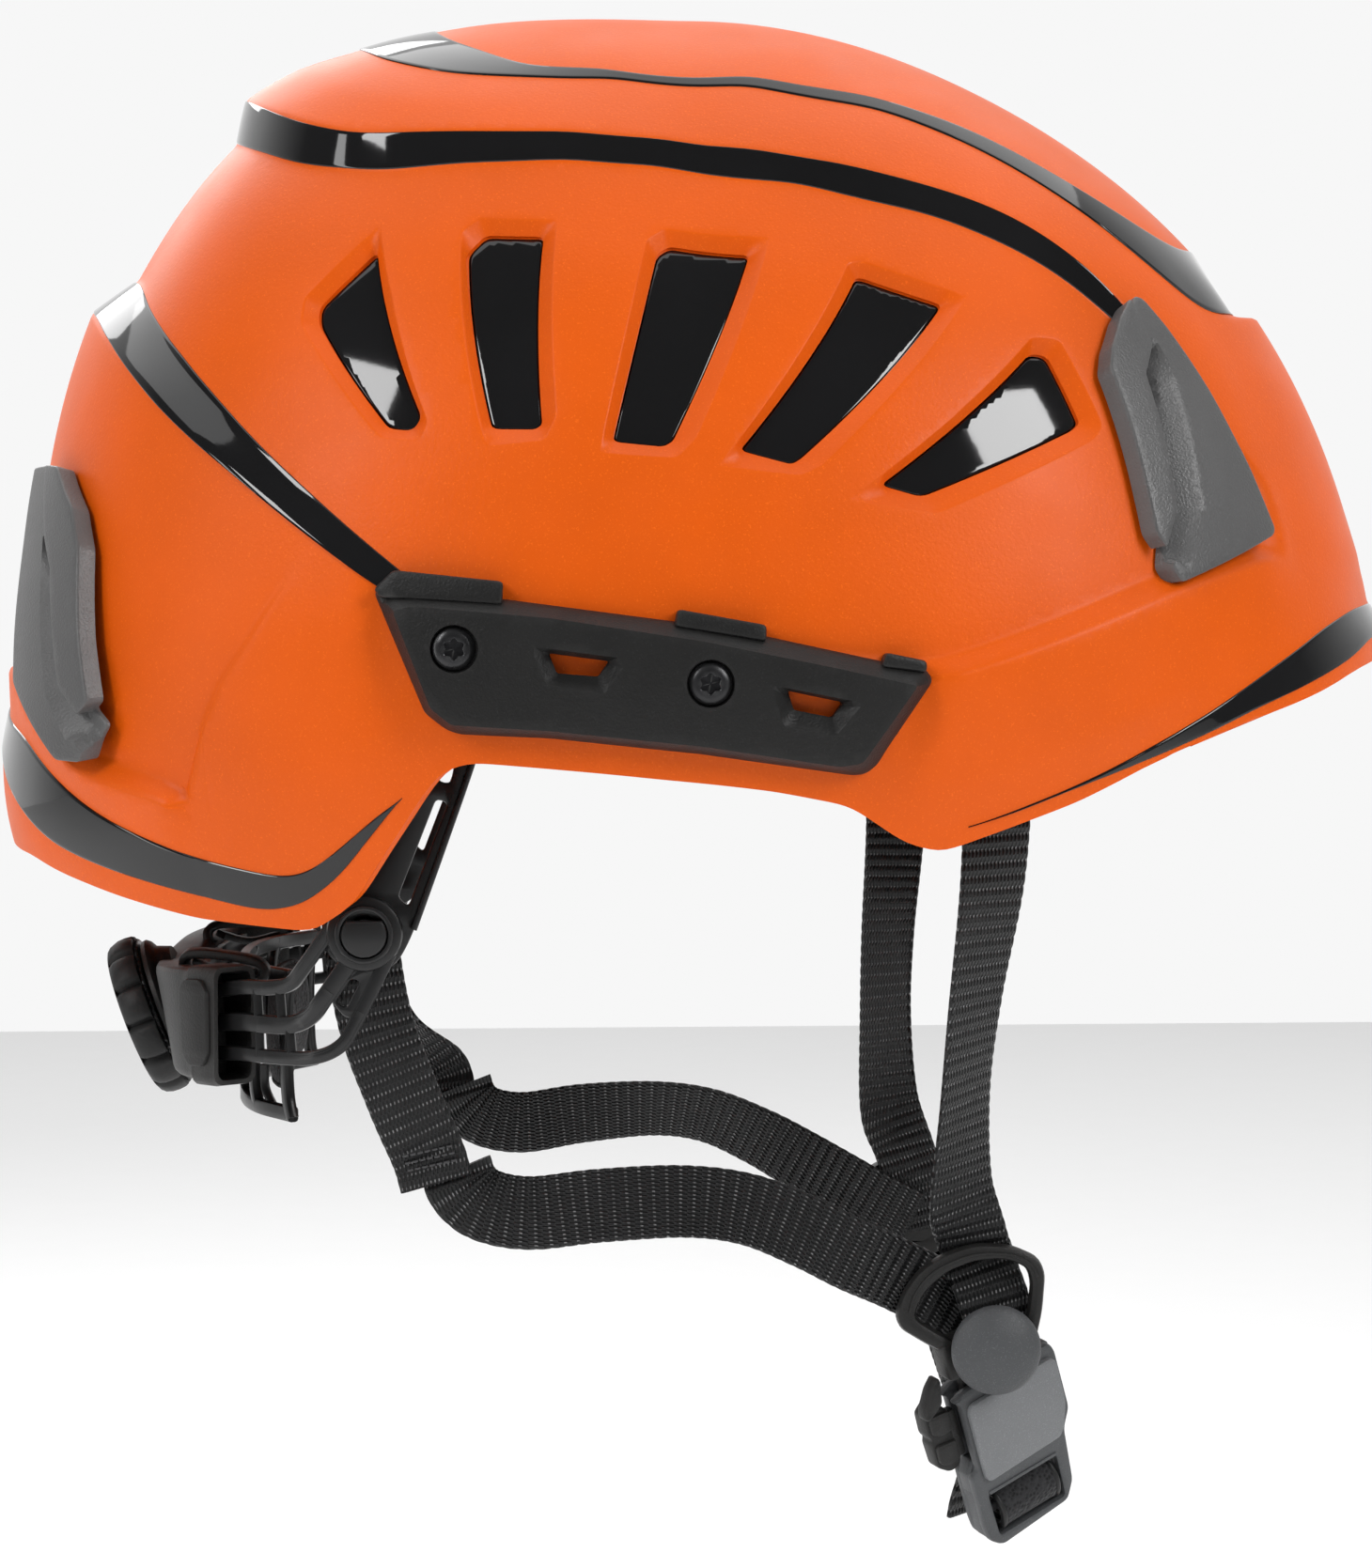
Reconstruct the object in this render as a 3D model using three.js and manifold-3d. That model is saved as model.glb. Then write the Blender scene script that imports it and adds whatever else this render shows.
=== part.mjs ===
// Arborist helmet as an assembly of separate pieces, in millimetres.
// +X is the wearer's front, +Y the wearer's left, +Z up. The origin is the middle of the head seat.
// The shell is described by directions from a point inside it: azimuth (0 front, 180 rear, the same
// on both sides) and elevation, both in degrees, with the distance from that point as a height field.
import * as THREE from 'three';
import { mergeVertices } from 'three/addons/utils/BufferGeometryUtils.js';
import Module from 'manifold-3d';

const wasm = await Module();
wasm.setup();

// ---------------------------------------------------------------- driving dimensions
const CENTRE_Z = 30;              // height of the shell's centre above the head seat
const SHELL_WALL = 3;
const GAP = 0.35;                 // clearance between pieces that lie on each other
const TRIM_THICKNESS = 0.8;
const CROWN_STEP = 2.6;           // the crown plate stands this far above the shell round it
const CROWN_STEP_REAR = 3.2;      // and this much more at the back of the crown
const TOP_STEP = 3.0;             // the plate inside the top stripe
const REAR_STEP = 5.4;            // the rear part stands this far above the shell in front of it
const BROW_STEP = 2.2;            // the brow ledge
const BRIM_FLARE = 8.5;           // the front brim runs out this far at the middle
const REAR_BRIM = 4.4;
const STRAP_WIDTH = 14.8;
const STRAP_THICKNESS = 1.4;
const PIVOT = { x: -67.8, y: 79.4, z: -25 };   // on each side; the nape arm turns about it
const PIVOT_SHANK_R = 3.0;
const KNOB_R = 17;
const KNOB_TILT = 21;             // degrees that the knob's face leans down
const KNOB_SEAT = [-112.4, 0, -48.2];   // middle of the housing's outer face
const HOUSING_MIDDLE = -45;       // height of the middle of the housing's ends
const RAIL_HEIGHT = 6.5;          // outer face of the accessory rail above the shell
const SCREWS = [[-49.8, 31.1, 104.5], [-1.7, 24.6, 108.8]]; // x, z and seat depth of the rail screws
const SCREW_LENGTH = 7.2;
const WINDOWS = [[-26.4, 28.4, -6], [18.2, 20.6, -12]];     // x, z and slope of the rail windows
const WINDOW = [11, 5.6];         // length and height of a rail window

// distance from the centre to the shell against elevation, at the front, the rear and the sides
const FRONT = smoothCurve([[-30, 136], [-12, 143], [0, 143.5], [12, 139.5], [32, 136], [60, 131.8],
  [90, 132.6]]);
const REAR = smoothCurve([[-30, 140], [-16, 146.5], [0, 141], [10, 139], [30, 141], [50, 145],
  [62, 142.2], [80, 134.6], [90, 132.6]]);
const SIDE = smoothCurve([[-35, 110], [-20, 106.5], [0, 104.5], [15, 104.5], [45, 112], [60, 119.5],
  [75, 128], [90, 132.6]]);

// feature lines of the shell as elevation against azimuth
const RIM = polyline([[0, -0.1], [15, -0.2], [23, -1.5], [29, -3.4], [37, -5.8], [44, -8.7],
  [53, -13.8], [60, -17], [66, -19.7], [70, -18.9], [76, -15.4], [84, -14.1], [96, -12.8],
  [115, -10.4], [118, -11.3], [122, -16.5], [128, -23.3], [133, -25.5], [144, -23.1], [156, -18.8],
  [164, -16.4], [180, -15]]);
const BRIM_LOW = polyline([[0, 0.9], [19, 1.0], [23, -0.5], [29, -2.4], [36, -4.8], [48, -10.4],
  [54, -13.0], [60, -16], [66, -18.5], [70, -17.7], [76, -14.4], [115, -9.3], [122, -14.2],
  [128.5, -20.6], [133, -23.0], [137, -23.2], [144, -20.8], [159, -15.4], [173, -8], [180, -7.5]]);
const BRIM_HIGH = polyline([[0, 4], [15, 4], [21, 3.6], [27, 2.2], [34, -0.9], [39, -3.7],
  [48, -9.1], [54, -12.3], [60, -15], [66, -17.3], [70, -16.5], [76, -13.2], [115, -8.2],
  [122, -13.4], [126, -16.2], [130, -18.9], [133, -20.2], [143, -17], [152, -12.7], [163, -6.6],
  [180, -3.8]]);
const SHELF = polyline([[140, -14], [143, -11.3], [152, -8.8], [165, -2.2], [172, -0.8], [180, -0.6]]);
const STEP_LOW = polyline([[0, 8.0], [30, 8.0], [36, 7.6], [45, 5.3], [58, 0.7], [68, -2.6],
  [90, 0.4], [118, 3.2], [124, 7.1], [128, 9.7], [138, 16], [151, 22.9], [165, 28], [180, 30]]);
const STEP_HIGH = polyline([[0, 9.0], [30, 9.0], [36, 9.2], [45, 7.1], [58, 2.5], [68, -0.8],
  [90, 1.8], [118, 4.6], [123, 8.3], [132.5, 15.1], [143.5, 22.3], [158, 30.1], [165, 32.8],
  [180, 34]]);
const CROWN_LOW = polyline([[0, 12.5], [29, 12.5], [33, 13], [36, 19], [40, 31], [43.3, 35.3],
  [47, 39.5], [56.5, 46.1], [75, 52.6], [98, 55.2], [113, 54.1], [128, 50.3], [137, 47.1],
  [148, 45.8], [163, 46.8], [180, 48.5]]);
const CROWN_HIGH = polyline([[0, 13.7], [29, 13.7], [32, 14.5], [35, 20.5], [39.5, 32.4],
  [41.5, 36.1], [44.6, 41], [50.5, 45.9], [58, 49.6], [68, 53.3], [82, 56.4], [98, 57.5],
  [113, 56.2], [129, 52.2], [140.5, 48.9], [150, 48.7], [172, 50.8], [180, 51.4]]);
const TOP_LOW = polyline([[0, 31.6], [20, 31], [29, 29.9], [31.5, 33], [34.2, 38.3], [36.8, 44.7],
  [44.5, 52.8], [55, 59.5], [79, 65.3], [110, 65.2], [125, 62.2], [138, 58.8], [150, 58.2],
  [180, 61.2]]);
const TOP_HIGH = polyline([[0, 39.6], [20, 38.6], [25.4, 37.7], [29.7, 41.4], [33.3, 45.7],
  [41.4, 54.8], [54, 61.8], [78, 67.2], [113, 66.8], [128, 64.2], [137, 64.6], [149, 65.1],
  [180, 68.8]]);
const AZIMUTHS = [0, 8, 16, 23, 29, 32, 35, 38, 41, 45, 50, 56, 62, 66, 70, 76, 83, 90, 97, 104, 110,
  115, 118, 122, 125, 129, 133, 138, 142, 148, 154, 162, 171, 180];
const CHEVRON_FROM = 125;         // azimuths where the partial trims begin or end
const REAR_BRIM_FROM = 125;
const FRONT_BRIM_TO = 50;
const CROWN_BAND_FROM = 41;

// vent windows, as azimuth and elevation of their corners
const VENTS = [
  [[132.9, 39.6], [136.7, 32.9], [136.0, 31.2], [125.5, 21.9], [123.0, 22.0], [122.3, 23.4]],
  [[122.3, 41.5], [121.0, 44.0], [113.5, 45.3], [109.5, 24.0], [110.2, 23.4], [114.9, 23.0]],
  [[97.6, 45.0], [95.8, 46.2], [84.1, 45.1], [94.8, 23.0], [95.9, 22.4], [101.7, 22.7]],
  [[70.1, 41.0], [69.2, 40.9], [60.2, 36.5], [80.2, 21.0], [81.3, 20.4], [87.2, 22.1]],
  [[51.9, 29.9], [50.0, 29.4], [48.8, 22.2], [49.8, 21.6], [67.4, 16.2], [71.7, 17.7]],
];

// ---------------------------------------------------------------- small helpers
function vec(x, y, z) {
  return new THREE.Vector3(x, y, z);
}

function polyline(points) {
  return (x) => {
    let i = 1;
    while (i < points.length - 1 && x > points[i][0]) i += 1;
    const [x0, y0] = points[i - 1];
    const [x1, y1] = points[i];
    const t = THREE.MathUtils.clamp((x - x0) / (x1 - x0), 0, 1);
    return y0 + (y1 - y0) * t;
  };
}

function smoothCurve(points) {
  const last = points.length - 1;
  const slope = (i) => {
    if (i === last) return 0;
    const a = points[Math.max(i - 1, 0)];
    const b = points[i + 1];
    return (b[1] - a[1]) / (b[0] - a[0]);
  };
  return (x) => {
    const held = THREE.MathUtils.clamp(x, points[0][0], points[last][0]);
    let i = 0;
    while (i < last - 1 && held > points[i + 1][0]) i += 1;
    const width = points[i + 1][0] - points[i][0];
    const t = (held - points[i][0]) / width;
    const rise = t * t * (3 - 2 * t);
    return points[i][1] * (1 - rise) + points[i + 1][1] * rise
      + width * t * (1 - t) * (slope(i) * (1 - t) - slope(i + 1) * t);
  };
}

function fade(value, full, none) {
  return THREE.MathUtils.smoothstep(-value, -Math.max(full, none), -Math.min(full, none));
}

function cross(a, b) {
  return new THREE.Vector3().crossVectors(a, b);
}

function closed(points, faces) {
  const raw = new THREE.BufferGeometry().setFromPoints(points);
  raw.setIndex(faces);
  const geometry = mergeVertices(raw, 1e-4);
  const index = geometry.index.array;
  const at = geometry.getAttribute('position');
  const corner = (i) => new THREE.Vector3().fromBufferAttribute(at, i);
  const kept = [];
  let volume = 0;
  for (let i = 0; i < index.length; i += 3) {
    const [a, b, c] = [index[i], index[i + 1], index[i + 2]];
    if (a === b || b === c || c === a) continue;
    kept.push([a, b, c]);
    volume += corner(a).dot(cross(corner(b), corner(c)));
  }
  geometry.setIndex(kept.flatMap((face) => (volume < 0 ? [face[0], face[2], face[1]] : face)));
  return geometry;
}

// a geometry's corners with nothing but their places, each shared by the faces that meet there
function bare(geometry) {
  const at = geometry.getAttribute('position');
  const points = [];
  for (let i = 0; i < at.count; i += 1) points.push(new THREE.Vector3().fromBufferAttribute(at, i));
  const faces = geometry.index ? Array.from(geometry.index.array) : points.map((_, i) => i);
  return closed(points, faces);
}

// a solid between two grids of points; the columns close into a ring when loop is true
function gridSolid(outer, inner, loop = false) {
  const rows = outer.length;
  const cols = outer[0].length;
  const spans = loop ? cols : cols - 1;
  const at = (side, r, c) => (side * rows + r) * cols + (c % cols);
  const faces = [];
  const quad = (a, b, c, d) => faces.push(a, b, c, a, c, d);
  for (let r = 0; r < rows - 1; r += 1) {
    for (let c = 0; c < spans; c += 1) {
      quad(at(0, r, c), at(0, r, c + 1), at(0, r + 1, c + 1), at(0, r + 1, c));
      quad(at(1, r, c), at(1, r + 1, c), at(1, r + 1, c + 1), at(1, r, c + 1));
    }
    if (!loop) {
      quad(at(0, r, 0), at(0, r + 1, 0), at(1, r + 1, 0), at(1, r, 0));
      quad(at(0, r, cols - 1), at(1, r, cols - 1), at(1, r + 1, cols - 1), at(0, r + 1, cols - 1));
    }
  }
  for (let c = 0; c < spans; c += 1) {
    quad(at(0, 0, c), at(1, 0, c), at(1, 0, c + 1), at(0, 0, c + 1));
    quad(at(0, rows - 1, c), at(0, rows - 1, c + 1), at(1, rows - 1, c + 1), at(1, rows - 1, c));
  }
  return closed([...outer.flat(), ...inner.flat()], faces);
}

function toSolid(geometry) {
  const bare = new THREE.BufferGeometry();
  bare.setAttribute('position', geometry.getAttribute('position'));
  if (geometry.index) bare.setIndex(geometry.index);
  const merged = mergeVertices(bare, 1e-4);
  return new wasm.Manifold(new wasm.Mesh({
    numProp: 3,
    vertProperties: new Float32Array(merged.getAttribute('position').array),
    triVerts: new Uint32Array(merged.index.array),
  }));
}

function toGeometry(solid) {
  const mesh = solid.getMesh();
  const geometry = new THREE.BufferGeometry();
  geometry.setAttribute('position', new THREE.BufferAttribute(mesh.vertProperties, 3));
  geometry.setIndex(Array.from(mesh.triVerts));
  return geometry;
}

function join(...geometries) {
  return toGeometry(geometries.map(toSolid).reduce((a, b) => a.add(b)));
}

function cut(geometry, ...tools) {
  return toGeometry(tools.map(toSolid).reduce((a, b) => a.subtract(b), toSolid(geometry)));
}

function mirrored(geometry) {
  const copy = geometry.clone().applyMatrix4(new THREE.Matrix4().makeScale(1, -1, 1));
  const corners = copy.index ? copy.index.array : [...Array(copy.getAttribute('position').count).keys()];
  const flipped = [];
  for (let i = 0; i < corners.length; i += 3) flipped.push(corners[i], corners[i + 2], corners[i + 1]);
  copy.setIndex(flipped);
  return copy;
}

// a plate in the X-Z plane, outline in x and z, from y = near to y = far
function sidePlate(outline, near, far, holes = []) {
  const corners = outline.map(([x, z]) => new THREE.Vector2(x, z));
  const shape = new THREE.Shape(THREE.ShapeUtils.isClockWise(corners) ? corners.reverse() : corners);
  for (const hole of holes) shape.holes.push(new THREE.Path(hole.map(([x, z]) => new THREE.Vector2(x, z))));
  const plate = new THREE.ExtrudeGeometry(shape, { depth: Math.abs(far - near), bevelEnabled: false });
  return bare(plate).rotateX(Math.PI / 2).translate(0, Math.max(near, far), 0);
}

function circle(x, z, radius, sides = 16) {
  const points = [];
  for (let i = 0; i < sides; i += 1) {
    const angle = (2 * Math.PI * i) / sides;
    points.push([x + radius * Math.cos(angle), z + radius * Math.sin(angle)]);
  }
  return points;
}

function pin(x, z, near, far, radius, sides = 16) {
  return sidePlate(circle(x, z, radius, sides), near, far);
}

function box(width, depth, height, x = 0, y = 0, z = 0) {
  return bare(new THREE.BoxGeometry(width, depth, height)).translate(x, y, z);
}

// a flat band along a smooth path; each station is its centre and the direction of its width
function band(stations, width, thickness, stepsPerSpan = 4) {
  const path = new THREE.CatmullRomCurve3(stations.map((s) => vec(...s[0])));
  const sides = new THREE.CatmullRomCurve3(stations.map((s) => vec(...s[1])));
  const steps = (stations.length - 1) * stepsPerSpan;
  const rows = [[], []];
  const back = [[], []];
  for (let i = 0; i <= steps; i += 1) {
    const t = i / steps;
    const tangent = path.getTangent(t);
    const side = sides.getPoint(t);
    side.addScaledVector(tangent, -side.dot(tangent)).normalize().multiplyScalar(width / 2);
    const out = cross(tangent, side).normalize().multiplyScalar(thickness / 2);
    const centre = path.getPoint(t);
    rows[0].push(centre.clone().sub(side).add(out));
    rows[1].push(centre.clone().add(side).add(out));
    back[0].push(centre.clone().sub(side).sub(out));
    back[1].push(centre.clone().add(side).sub(out));
  }
  return gridSolid(rows, back);
}

// ---------------------------------------------------------------- the shell's surface
function baseRadius(azimuth, elevation) {
  const c = Math.cos(THREE.MathUtils.degToRad(azimuth));
  const s = Math.abs(Math.sin(THREE.MathUtils.degToRad(azimuth)));
  const along = c >= 0 ? FRONT(elevation) : REAR(elevation);
  const power = 2 + 0.35 * Math.cos(THREE.MathUtils.degToRad(elevation)) ** 2;
  return ((Math.abs(c) / along) ** power + (s / SIDE(elevation)) ** power) ** (-1 / power);
}

function surfacePoint(azimuth, elevation, height) {
  const a = THREE.MathUtils.degToRad(azimuth);
  const e = THREE.MathUtils.degToRad(elevation);
  const r = baseRadius(azimuth, elevation) + height;
  return vec(r * Math.cos(e) * Math.cos(a), -r * Math.cos(e) * Math.sin(a), CENTRE_Z + r * Math.sin(e));
}

function brimHeight(a) {
  const front = BRIM_FLARE * fade(a, 0, 60);
  const rear = REAR_BRIM * (1 - fade(a, 128, 175));
  return Math.max(front, rear, 1);
}

function crownHeight(a, elevation) {
  const rear = Math.max(0, -Math.cos(THREE.MathUtils.degToRad(a)));
  const bulge = 2 * fade(a, 8, 30) * fade(elevation, 31, 36);
  return CROWN_STEP + CROWN_STEP_REAR * rear * fade(elevation, 52, 66) + bulge;
}

function stepHeight(a) {
  const rear = REAR_STEP * (1 - fade(a, 120, 175)) + 2 * (1 - fade(a, 120, 126)) * fade(a, 126, 175);
  const brow = BROW_STEP * fade(a, 66, 72);
  const front = (crownHeight(a, 10) - BROW_STEP) * fade(a, 28, 34);
  return Math.max(rear, brow + front, 1);
}

// one [elevation, height] pair for each row of the shell's grid, from the rim to the top
function shellRows(a) {
  const mix = (p, q, t) => p + (q - p) * t;
  const low = BRIM_HIGH(a);
  const step = STEP_LOW(a);
  const recess = 1 - fade(a, 139, 148);
  const shelfLow = a < 140 ? mix(low, step, 0.3) : Math.min(SHELF(a) - 0.8, mix(low, step, 0.5));
  const shelfHigh = shelfLow + 1.6;
  const brim = brimHeight(a);
  const lowerPart = mix(brim * 0.5 + 1, stepHeight(a), 0.3);
  const between = STEP_HIGH(a);
  const crown = CROWN_LOW(a);
  const middle = stepHeight(a) * fade(a, 30, 33);
  const top = TOP_LOW(a);
  const plate = TOP_HIGH(a);
  return [
    [RIM(a), brim],
    [BRIM_LOW(a), brim],
    [low, brim * 0.5 + Math.min(brim, 2) * 0.5],
    [shelfLow, mix(lowerPart, 4, recess)],
    [shelfHigh, mix(lowerPart, 0.8, recess)],
    [mix(shelfHigh, step, 0.5), mix(stepHeight(a), 3, recess)],
    [step, stepHeight(a)],
    [between, middle],
    [mix(between, crown, 0.25), middle],
    [mix(between, crown, 0.5), middle],
    [mix(between, crown, 0.75), middle],
    [crown, middle],
    [CROWN_HIGH(a), crownHeight(a, CROWN_HIGH(a))],
    [mix(CROWN_HIGH(a), top, 0.5), crownHeight(a, mix(CROWN_HIGH(a), top, 0.5))],
    [top, crownHeight(a, top)],
    [plate, TOP_STEP],
    [mix(plate, 90, 0.3), TOP_STEP],
    [mix(plate, 90, 0.62), TOP_STEP],
    [90, TOP_STEP],
  ];
}
const ROW = { brimLow: 1, brimHigh: 2, stepLow: 6, stepHigh: 7, crownLow: 11, crownHigh: 12, topLow: 14,
  topHigh: 15 };

// the azimuths of a full ring, the right side going back and the left side coming forward again
function ring() {
  const left = AZIMUTHS.slice(1, -1).reverse().map((a) => -a);
  return [...AZIMUTHS, ...left];
}

// the azimuths of a strip that crosses the middle plane at the front or at the rear
function arc(from, to) {
  const half = AZIMUTHS.filter((a) => a >= from && a <= to);
  if (to === 180) return [...half, ...half.slice(0, -1).reverse().map((a) => -a)];
  return [...half.slice(1).reverse().map((a) => -a), ...half];
}

function shellGrid(azimuths, firstRow, lastRow, offset) {
  const rows = [];
  for (let r = firstRow; r <= lastRow; r += 1) {
    rows.push(azimuths.map((a) => {
      const [elevation, height] = shellRows(Math.abs(a))[r];
      return surfacePoint(a, elevation, height + offset);
    }));
  }
  return rows;
}

// a prism that runs out from the shell's centre through an outline of [azimuth, elevation]
function radialPrism(corners, low, high) {
  const flatten = ([a, e]) => new THREE.Vector2(a * Math.cos(THREE.MathUtils.degToRad(35)), e);
  const clockwise = THREE.ShapeUtils.isClockWise(corners.map(flatten));
  const outline = clockwise ? [...corners].reverse() : corners;
  const flat = outline.map(flatten);
  const caps = THREE.ShapeUtils.triangulateShape(flat, []);
  const count = outline.length;
  const points = [
    ...outline.map(([a, e]) => surfacePoint(a, e, low)),
    ...outline.map(([a, e]) => surfacePoint(a, e, high)),
  ];
  const faces = caps.flatMap(([a, b, c]) => [a, c, b, a + count, b + count, c + count]);
  for (let i = 0; i < count; i += 1) {
    const j = (i + 1) % count;
    faces.push(i, j, j + count, i, j + count, i + count);
  }
  return closed(points, faces);
}

function shrunk(outline, by) {
  const middle = outline.reduce((sum, p) => [sum[0] + p[0] / outline.length, sum[1] + p[1] / outline.length],
    [0, 0]);
  return outline.map((p) => {
    const reach = Math.hypot(p[0] - middle[0], p[1] - middle[1]);
    const keep = (reach - by) / reach;
    return [middle[0] + (p[0] - middle[0]) * keep, middle[1] + (p[1] - middle[1]) * keep];
  });
}

// a patch that follows the shell between two edges, each an [azimuth, elevation] polyline over 0 to 1
function patch(firstEdge, secondEdge, along, across, low, high) {
  const outer = [];
  const inner = [];
  const edgeA = [0, 1].map((k) => polyline(firstEdge.map((p) => [p[0], p[k + 1]])));
  const edgeB = [0, 1].map((k) => polyline(secondEdge.map((p) => [p[0], p[k + 1]])));
  for (let j = 0; j <= across; j += 1) {
    const rows = [[], []];
    for (let i = 0; i <= along; i += 1) {
      const t = i / along;
      const a = edgeA[0](t) + ((edgeB[0](t) - edgeA[0](t)) * j) / across;
      const e = edgeA[1](t) + ((edgeB[1](t) - edgeA[1](t)) * j) / across;
      rows[0].push(surfacePoint(a, e, high));
      rows[1].push(surfacePoint(a, e, low));
    }
    outer.push(rows[0]);
    inner.push(rows[1]);
  }
  return gridSolid(outer, inner);
}

// ---------------------------------------------------------------- shell, trims and inserts
function outerShell() {
  const skin = gridSolid(shellGrid(ring(), 0, 18, 0), shellGrid(ring(), 0, 18, -SHELL_WALL), true);
  const vents = VENTS.flatMap((outline) => {
    const right = radialPrism(outline, -12, 12);
    return [right, mirrored(right)];
  });
  const screwHoles = SCREWS.flatMap(([x, z]) => [pin(x, z, -125, -90, 2.4, 12), pin(x, z, 90, 125, 2.4, 12)]);
  return cut(skin, ...vents, ...screwHoles);
}

function trim(azimuths, firstRow, lastRow, loop = false) {
  return gridSolid(shellGrid(azimuths, firstRow, lastRow, GAP + TRIM_THICKNESS),
    shellGrid(azimuths, firstRow, lastRow, GAP), loop);
}

function ventInsert() {
  const upper = [[0, 134, 30], [0.3, 115, 34], [0.6, 90, 35], [1, 53, 25.5]];
  const lower = [[0, 130, 26], [0.3, 113, 30], [0.6, 87, 31], [1, 56, 22]];
  const carrier = patch(upper, lower, 16, 1, -5.4, -4.3);
  const panels = VENTS.map((outline) => radialPrism(shrunk(outline, 0.6), -5, -1.5));
  return join(carrier, ...panels);
}

function foamLiner() {
  const columns = [];
  for (let i = 0; i < 36; i += 1) columns.push(i * 10);
  const elevations = [-1, 12, 26, 42, 58, 74, 90];
  const cavity = (a, e) => {
    const c = Math.cos(THREE.MathUtils.degToRad(a));
    const s = Math.sin(THREE.MathUtils.degToRad(a));
    const level = (c * c) / 112 ** 2 + (s * s) / 86 ** 2;
    const k = Math.sin(THREE.MathUtils.degToRad(e)) ** 2;
    return (level * (1 - k) + k / 106 ** 2) ** -0.5;
  };
  const fold = (a) => (a > 180 ? 360 - a : a);
  const skin = (outside) => elevations.map((e) => columns.map((a) => {
    const away = outside ? -7.4 : cavity(fold(a), e) - baseRadius(fold(a), e);
    return surfacePoint(a, e, away);
  }));
  return gridSolid(skin(true), skin(false), true);
}

// ---------------------------------------------------------------- pieces fixed to the shell
function accessoryRail() {
  const top = [[0, 122.0, 7.2], [0.12, 111, 6.4], [0.26, 103.4, 5.0], [0.44, 94.2, 4.0],
    [0.62, 85.4, 2.6], [0.84, 74.4, -0.2], [1, 69.6, -1.9]];
  const bottom = [[0, 117.6, -6.3], [0.06, 115.5, -7.6], [0.44, 96, -9.4], [0.85, 77.5, -11.6],
    [0.95, 74.4, -11.2], [1, 73.0, -9.9]];
  const body = patch(top, bottom, 14, 3, 1.6, RAIL_HEIGHT);
  const cuts = WINDOWS.map(([x, z, slope]) => box(WINDOW[0], 40, WINDOW[1])
    .rotateY(THREE.MathUtils.degToRad(-slope)).translate(x, -112, z));
  const holes = SCREWS.flatMap(([x, z, seat]) => [
    pin(x, z, -125, -seat + GAP, 4.4),
    pin(x, z, -125, -95, 2.4, 12),
  ]);
  return cut(body, ...cuts, ...holes);
}

function railScrew([x, z, seat]) {
  const head = cut(pin(x, z, -seat - 2, -seat, 3.9), pin(x, z, -seat - 3, -seat - 1, 1.8, 6));
  return join(head, pin(x, z, -seat - 0.2, -seat + SCREW_LENGTH, 2.1, 12));
}

function frontLampClip() {
  const left = [[0, 43.2, 30.6], [0.1, 46.3, 27.4], [0.2, 47.6, 24.6], [0.8, 47.9, 11], [1, 47.2, 9.4]];
  const right = [[0, 41.4, 30.2], [1, 37.4, 12.2]];
  return patch(left, right, 8, 2, 0.6, 4.4);
}

function rearLampClip() {
  const left = [[0, 163.2, 14.6], [0.45, 163.3, 7.0], [0.8, 161.5, 1.2], [1, 155.8, -3.2]];
  const right = [[0, 159.2, 14.3], [0.15, 154.2, 11.6], [0.85, 149.2, -5.0], [1, 148.6, -6.6]];
  return patch(left, right, 8, 2, 4.2, 7.4);
}

function sideHanger() {
  const outline = [[-71, -33], [-66, -34], [-61.5, -31.4], [-58.8, -26.4], [-46.1, 8.2], [-44, 15],
    [-56, 15], [-58.5, 4], [-66.5, -12], [-75.5, -20.5], [-76, -29]];
  const slots = [
    [[-53.7, 1.2], [-51.4, 0.4], [-59.3, -20.1], [-61.3, -18.2]],
    [[-53.6, 10.5], [-49.4, 11.5], [-50.9, 4.2], [-53.2, 4.6]],
  ];
  const plate = sidePlate(outline, -76.6, -74.8, [...slots, circle(PIVOT.x, PIVOT.z, PIVOT_SHANK_R + 0.3)]);
  return join(plate, box(11, 18.4, 3, -50, -84.2, 13.5));
}

function pivotStud() {
  const face = -PIVOT.y - 4;
  const head = cut(pin(PIVOT.x, PIVOT.z, face, face + 2, 4.8), box(12, 3, 4, PIVOT.x, face - 0.5, PIVOT.z + 4.4));
  const cap = pin(PIVOT.x, PIVOT.z, -74.5, -73.5, 4.6);
  return join(head, pin(PIVOT.x, PIVOT.z, face + 1, -74, PIVOT_SHANK_R), cap);
}

// ---------------------------------------------------------------- nape adjuster
// plan of the nape arms: x and distance from the middle plane
function armPlan(x) {
  return polyline([[-101, 52.3], [-97.5, 57], [-94.5, 61], [-88, 69], [-81, 75.2], [-76, 78.4],
    [-70, 79.4], [-60, 79.4]])(x);
}

function armBar(points, height) {
  const stations = points.map(([x, z]) => [[x, -armPlan(x), z], [0, 0, 1]]);
  return band(stations, height, 1.9, 2);
}

function napeArm() {
  const eye = pin(PIVOT.x, PIVOT.z, -PIVOT.y - 1.6, -PIVOT.y + 1.6, 8.4);
  const bars = [
    armBar([[-71.5, -19.5], [-74.6, -26], [-78.6, -33], [-84, -35.6], [-92, -36.4], [-100.5, -39]], 2.8),
    armBar([[-69, -33], [-72.5, -37.5], [-77.5, -41], [-84, -42.2], [-92, -42.8], [-100.5, -45]], 3.6),
    armBar([[-62.5, -31.5], [-66.5, -40], [-71.5, -46.4], [-78, -48.2], [-92, -49], [-100.5, -51]], 2.8),
  ];
  const tie = band([[[-79.4, -armPlan(-79.4), -34.4], [1, 0, 0]], [[-77.4, -armPlan(-77.4), -49], [1, 0, 0]]],
    3, 1.9);
  const hole = pin(PIVOT.x, PIVOT.z, -90, -70, PIVOT_SHANK_R + 0.3);
  return cut(join(eye, ...bars, tie), hole);
}

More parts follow.
